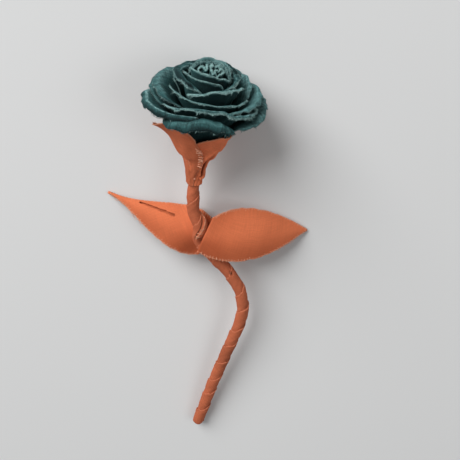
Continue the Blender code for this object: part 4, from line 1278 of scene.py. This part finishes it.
def build_stem(material, fray):
    """Long strip wound up the wire, each turn's upper edge lying over the next turn."""
    stem = Stem()
    turns = stem.end / WRAP_PITCH + 1.0
    q = np.linspace(-1.0, turns, int((turns + 1) * WRAP_STEPS_A_TURN))[:, None]
    w = np.linspace(0.0, 1.0, WRAP_COLUMNS)[None, :]
    sway = WRAP_SWAY * EdgeRipple(51, *SWAY_WAVES)(q)
    upper = WRAP_RAGGED * EdgeRipple(52, *RAGGED_WAVES)(q)
    s = (q + sway) * WRAP_PITCH + w * (WRAP_PITCH + WRAP_OVERLAP + upper)
    taper = ramp(stem.length - s, WRAP_TAPER_START, WRAP_TAPER_END)
    radius = WRAP_LOW + (WRAP_HIGH - WRAP_LOW) * w ** 0.8 - WRAP_TAPER * taper
    radius = radius + WRAP_DENTS * Ripple(53, *WRAP_DENT_WAVES)(q * TURN_FLAT[0], w * TURN_FLAT[1])
    turn = 2 * np.pi * q + np.zeros_like(w)
    slant = np.tan(np.radians(FOOT_SLANT)) * radius * np.cos(turn)
    s = np.minimum(np.maximum(s, slant), stem.end)
    flap, beside = sewn_flap(s, turn)
    hole = worn_hole(s, turn)
    radius = radius + flap - WORN_HOLE[3] * hole
    points = stem.at(s, radius, turn)
    along = s - s[:, :1]
    edge = np.clip(along[:, -1:] - along, 0, FAR_FROM_EDGE)
    # Painted shadow beside the sewn end and painted shade in the worn hole, with the darker dyed turns
    wrap = cloth("stem_wrap_cloth", points, material, "stem_linen", edge, WRAP_WEAVE_ANGLE, WRAP_THICKNESS,
                 painted_shade_and_dye=np.maximum(FLAP_SHADE * np.maximum(hole, beside), dark_turns(s)))
    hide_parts("stem_wrap")
    live = (s[:, -1] > 1.0) & (s[:, -1] < stem.end - 0.5)
    edge, inside = points[live][:, -1], points[live][:, -3]
    fray.fringe(edge, unit(edge - inside), grid_normals(points)[live][:, -1], *WRAP_FIBRES)
    sew_flap(stem, fray)
    return wrap, points


def sewn_flap(s, turn):
    """How far the strip's sewn end stands out, in millimetres, and how close a place is to its edge, for the
    painted shadow beside it.
    """
    degrees = (np.degrees(turn) + 180.0) % 360.0 - 180.0
    past_edge = degrees - np.interp(s, *FLAP_EDGE)
    along = bell(s - FLAP_MIDDLE, FLAP_REACH, 4)
    round_it = smooth(past_edge / FLAP_RISE) * smooth((FLAP_TURN_END - degrees) / FLAP_SINK)
    beside = along * bell(past_edge + FLAP_SHADOW[0], FLAP_SHADOW[1])
    return FLAP_HEIGHT * along * round_it, beside


def dark_turns(s):
    middle, half, depth = DARK_TURNS
    return depth * bell(s - middle, half, 4)


def worn_hole(s, turn):
    place, degrees, size = WORN_HOLE[:3]
    return bell(np.hypot(s - place, np.radians(angle_gap(np.degrees(turn), degrees)) * WRAP_HIGH), size, 4)


def sew_flap(stem, fray):
    """Frayed edge of the strip's sewn end, its few stitches and its knot."""
    s = np.linspace(*FLAP_SEWN, FLAP_POINTS)
    turn = np.radians(np.interp(s, *FLAP_EDGE) + FLAP_EDGE_SHIFT)
    radius = WRAP_HIGH + FLAP_HEIGHT * bell(s - FLAP_MIDDLE, FLAP_REACH, 4)
    edge = stem.at(s, radius, turn)
    inner = stem.at(s, radius, turn + 0.25)
    up = unit(stem.at(s, radius + 1.0, turn) - edge)
    fray.fray_edge("flap", edge, unit(edge - inner), up)
    fray.thread(edge[::2] + 0.05 * up[::2], FLAP_THREAD_RADIUS)
    for k in FLAP_STITCHES_AT:
        over = edge[k] - inner[k]
        path = np.array([edge[k] + a * over + b * up[k] for a, b in FLAP_STITCH])
        fray.thread(catmull(path, 3), FLAP_STITCH_RADIUS)
    out = unit(edge[4] - inner[4])
    fray.knot(edge[4], out, up[4], lift=0.3, bob=0.25, size=0.45, steps=36, radius=0.15)


# Leaves

def leaf_frame(leaf):
    base, tip = np.array(leaf["base"]), np.array(leaf["tip"])
    along = unit(tip - base)
    across = np.array(leaf["across"])
    across = unit(across - (across @ along) * along)
    return base, np.linalg.norm(tip - base), along, across, np.cross(along, across)


def leaf_facing(leaf):
    return -1.0 if leaf_frame(leaf)[4][1] > 0 else 1.0


def leaf_half_width(leaf, a, side):
    belly = leaf["base_half"][side] + leaf["belly"][side] * a
    return belly * (1 - a) ** leaf["fine"][side] + LEAF_TIP_HALF * a


def leaf_across(leaf, a, b):
    """How far above or below a leaf's middle line a place lies."""
    return b * np.where(b > 0, leaf_half_width(leaf, a, 0), leaf_half_width(leaf, a, 1))


def leaf_points(leaf, a, b, front, seed):
    """Standing points of a leaf layer: a from base to tip, b from lower edge to upper edge."""
    base, length, along, across, face = leaf_frame(leaf)
    a, b = np.broadcast_arrays(a, b)
    uneven = 1 + LEAF_UNEVEN * EdgeRipple(seed, 0.25, 0.03, 12)(a + 3.0 * (b > 0))
    y = leaf_across(leaf, a, b) * uneven
    x = length * a + leaf["slant"] * y * (1 - a) ** 3
    swell = np.abs(np.sin(np.pi * a))
    puff = (1 - b * b) * swell ** LEAF_PUFF_POWER
    offset = LEAF_HALF_GAP + LEAF_PUFF_FRONT * puff if front else -LEAF_HALF_GAP - LEAF_PUFF_BACK * puff
    dent = LEAF_DENTS * Ripple(seed + 1, 26.0, 9.0)(x, y) * (1 - b ** 4)
    z = (leaf["arch"] - leaf["cup"] * (y / LEAF_CUP_HALF) ** 2) * swell + offset
    z = leaf_facing(leaf) * (z + dent)
    base_across = np.array(leaf["across_base"])
    base_across = unit(base_across - (base_across @ along) * along)
    tilt = np.arctan2(base_across @ face, base_across @ across) * (1 - smooth(a / LEAF_TWIST_END))
    y, z = y * np.cos(tilt) - z * np.sin(tilt), y * np.sin(tilt) + z * np.cos(tilt)
    return base + x[..., None] * along + y[..., None] * across + z[..., None] * face


def build_leaves(material, fray, stitches):
    made = []
    a = np.linspace(0.0, 1.0, LEAF_COLUMNS)[:, None]
    b = np.sin(np.linspace(-1.0, 1.0, LEAF_ROWS) * np.pi / 2)[None, :]
    for number, (name, leaf) in enumerate(LEAVES.items()):
        layers = {}
        for front in (True, False):
            points = leaf_points(leaf, a, b, front, 61 + 5 * number)
            width = leaf_half_width(leaf, a, 0) + leaf_half_width(leaf, a, 1)
            edge = np.clip(np.minimum((1 - np.abs(b)) * width / 2, (1 - a) * LEAF_LENGTH), 0, FAR_FROM_EDGE)
            keep = slit_mask(leaf, a, b) if front and name == "leaf_left" else None
            node = name + ("_front" if front else "_back")
            item = cloth(node + "_cloth", points, material, "leaf_linen", edge, 12.0 + 40.0 * number,
                         keep=keep, painted_shade_and_dye=leaf_dye_and_shade(a, b))
            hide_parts(node)
            made.append((item, points))
            layers[front] = points
        finish_leaf_edges(layers[True], layers[False], fray, stitches)
    return made


def leaf_dye_and_shade(a, b):
    """How deep a leaf's dye is, with painted shade deeper towards its lower edge and its base."""
    low = smooth(0.15 - b) * (1 - 0.6 * smooth((a - 0.55) / 0.4))
    everywhere, below, base = LEAF_DYE_AND_SHADE
    return everywhere + below * low + base * smooth((0.32 - a) / 0.3)


def slit_mask(leaf, a, b):
    """Faces to keep beside the slit of the left leaf's front."""
    length = leaf_frame(leaf)[1]
    y = leaf_across(leaf, a, b)
    x = length * a
    start, end = np.array(SLIT_FROM), np.array(SLIT_TO)
    run = end - start
    share = ((x - start[0]) * run[0] + (y - start[1]) * run[1]) / (run @ run)
    off = np.abs((x - start[0]) * run[1] - (y - start[1]) * run[0]) / np.linalg.norm(run)
    inside = (share > 0) & (share < 1) & (off < SLIT_WIDTH / 2)
    return ~(inside[:-1, :-1] | inside[1:, 1:])


def finish_leaf_edges(front, back, fray, stitches):
    """Frayed edges of both layers, and whip stitches over the lower and upper edges."""
    rng = np.random.default_rng(71)
    for column, inner in ((0, 1), (-1, -2)):
        for layer in (front, back):
            edge = layer[:, column]
            rim = (edge, unit(edge - layer[:, inner]), grid_normals(layer)[:, column])
            fray.fray_edge("leaf", *rim)
            if column == 0:
                start = int(LOOSE_LEAF_FROM * len(edge))
                fray.loose_threads(*(line[start:] for line in rim), *LOOSE_ON_LEAF)
        run = run_along(front[:, column])
        at = 2.0
        while at < run[-1] - 1.5:
            stitch(front, back, run, column, at, rng, stitches)
            at += rng.uniform(*LEAF_STITCH_PITCH)


def stitch(front, back, run, column, at, rng, stitches):
    """One whip stitch from the front, over the edge, to the back."""
    inner = 4 if column == 0 else -5

    def spot(layer, where, depth):
        edge = read_along(where, run, layer[:, column])
        return edge + unit(read_along(where, run, layer[:, inner]) - edge) * depth

    lean = rng.uniform(*STITCH_LEAN)
    up = unit(spot(front, at, 1.0) - spot(back, at, 1.0))
    out = -unit(spot(front, at, 1.0) - spot(front, at, 0.0))
    bite = rng.uniform(*STITCH_BITE)
    layers = {"front": front, "middle": (front + back) / 2, "back": back}
    path = np.array([spot(layers[side], at + on * lean, deep * bite) + up * high + out * past
                     for side, on, deep, high, past in LEAF_STITCH])
    stitches.thread(catmull(path, 3), LEAF_THREAD_RADIUS)


# Setting

def build_setting():
    """Pale floor and soft light."""
    mesh = bpy.data.meshes.new("floor")
    corners = [(x * FLOOR_HALF, y * FLOOR_HALF, 0) for x, y in ((-1, -1), (1, -1), (1, 1), (-1, 1))]
    mesh.from_pydata(corners, [], [(0, 1, 2, 3)])
    n = Nodes("floor_paper")
    cloudy = n.mix(n.noise(n.place(), 3.0), dark(FLOOR, 0.985), dark(FLOOR, 1.015))
    mesh.materials.append(n.surface({"Base Color": cloudy, "Roughness": 0.9}))
    floor = add_item("floor", mesh)
    floor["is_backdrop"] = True
    for name, (position, size, power) in LAMPS.items():
        lamp = bpy.data.lights.new(name, "AREA")
        lamp.shape = "DISK"
        lamp.size = size
        lamp.energy = power
        item = add_item(name, lamp)
        item.location = position
        item.rotation_euler = (Vector(LAMPS_AIM) - Vector(position)).to_track_quat("-Z", "Y").to_euler()
    world = bpy.data.worlds.new("studio")
    world.use_nodes = True
    background = world.node_tree.nodes["Background"]
    background.inputs["Color"].default_value = (1.0, 1.0, 1.0, 1.0)
    background.inputs["Strength"].default_value = ROOM_LIGHT
    bpy.context.scene.world = world


def build_camera():
    camera = bpy.data.cameras.new("camera")
    camera.lens = CAMERA_LENS
    camera.sensor_width = 36.0
    camera.clip_start = 0.01
    item = add_item("camera", camera)
    pitch = np.radians(CAMERA_PITCH)
    turned = Matrix.Rotation(np.radians(LIE_BACK), 3, "X")
    c, s = np.cos(pitch), np.sin(pitch)
    axes = Matrix(((1, 0, 0), (0, s, c), (0, -c, s))).transposed()
    item.matrix_world = Matrix.Translation(Vector(lay(CAMERA_AT)) * MM) @ (turned @ axes).to_4x4()
    bpy.context.scene.camera = item
    bpy.context.scene.view_settings.view_transform = "Standard"


def main():
    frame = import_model()
    cad_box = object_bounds()
    build_camera()
    build_setting()
    # The petals' cloth: its deep colour is painted shade and its crest colour a painted highlight
    teal = linen("petal_linen_cloth", TEAL, TEAL_SHADE, TEAL_WORN, sheen=0.15, worn_width=0.5, coarse=3.6,
                 grain=0.5, crest=TEAL_HIGHLIGHT)
    orange = linen("leaf_linen_cloth", ORANGE, ORANGE_SHADE, ORANGE_FRAY, worn_width=0.35, coarse=0.4)
    # The stem cloth's deep colour gives painted shade and its darker dyed turns
    terracotta = linen("stem_linen_cloth", TERRACOTTA, dark(TERRACOTTA, 0.2), TERRACOTTA_WORN, worn_width=0.4)
    # The calyx cloth's deep colour is painted shade
    calyx_linen = linen("calyx_linen_cloth", CALYX_TERRACOTTA, dark(CALYX_TERRACOTTA, 0.35), TERRACOTTA_FRAY,
                        worn_width=0.7)
    petals, petal_fray = build_petals(teal)
    roll, roll_points = build_centre_roll(teal, petal_fray)
    stem_fray, leaf_fray, leaf_thread, seam_thread = (Fibres(seed) for seed in (12, 13, 14, 15))
    calyx, calyx_grid = build_calyx(calyx_linen, stem_fray, seam_thread)
    wrap, wrap_points = build_stem(terracotta, stem_fray)
    leaves = build_leaves(orange, leaf_fray, leaf_thread)
    fringe, stem_fringe, leaf_fringe, sewing, seam = (
        fibres.build(name, fibre_material(*looks), slot) for name, fibres, looks, slot in (
            ("petal_fray", petal_fray, ("petal_fibres", TEAL_FRAY), "petal_linen"),
            ("stem_fray", stem_fray, ("stem_fibres", TERRACOTTA_FRAY), "stem_linen"),
            ("leaf_fray", leaf_fray, ("leaf_fibres", ORANGE_FRAY), "leaf_linen"),
            ("leaf_stitches", leaf_thread, ("thread_fibres", THREAD, 0.2), "leaf_linen"),
            ("calyx_stitches", seam_thread, ("seam_fibres", SEAM_THREAD, 0.1), "stem_linen")))
    declare(roll, roll_points)
    for number, (item, points) in enumerate(petals):
        declare(item, points)
    declare(calyx, calyx_grid)
    declare(wrap, wrap_points)
    for number, (item, points) in enumerate(leaves):
        declare(item, points)
    metal = wire_material()
    for slot in frame["nodes"]["stem_wire"].material_slots:
        slot.material = metal
    boxes = [[list(map(float, corner)) for corner in box] for box in (cad_box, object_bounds())]


main()
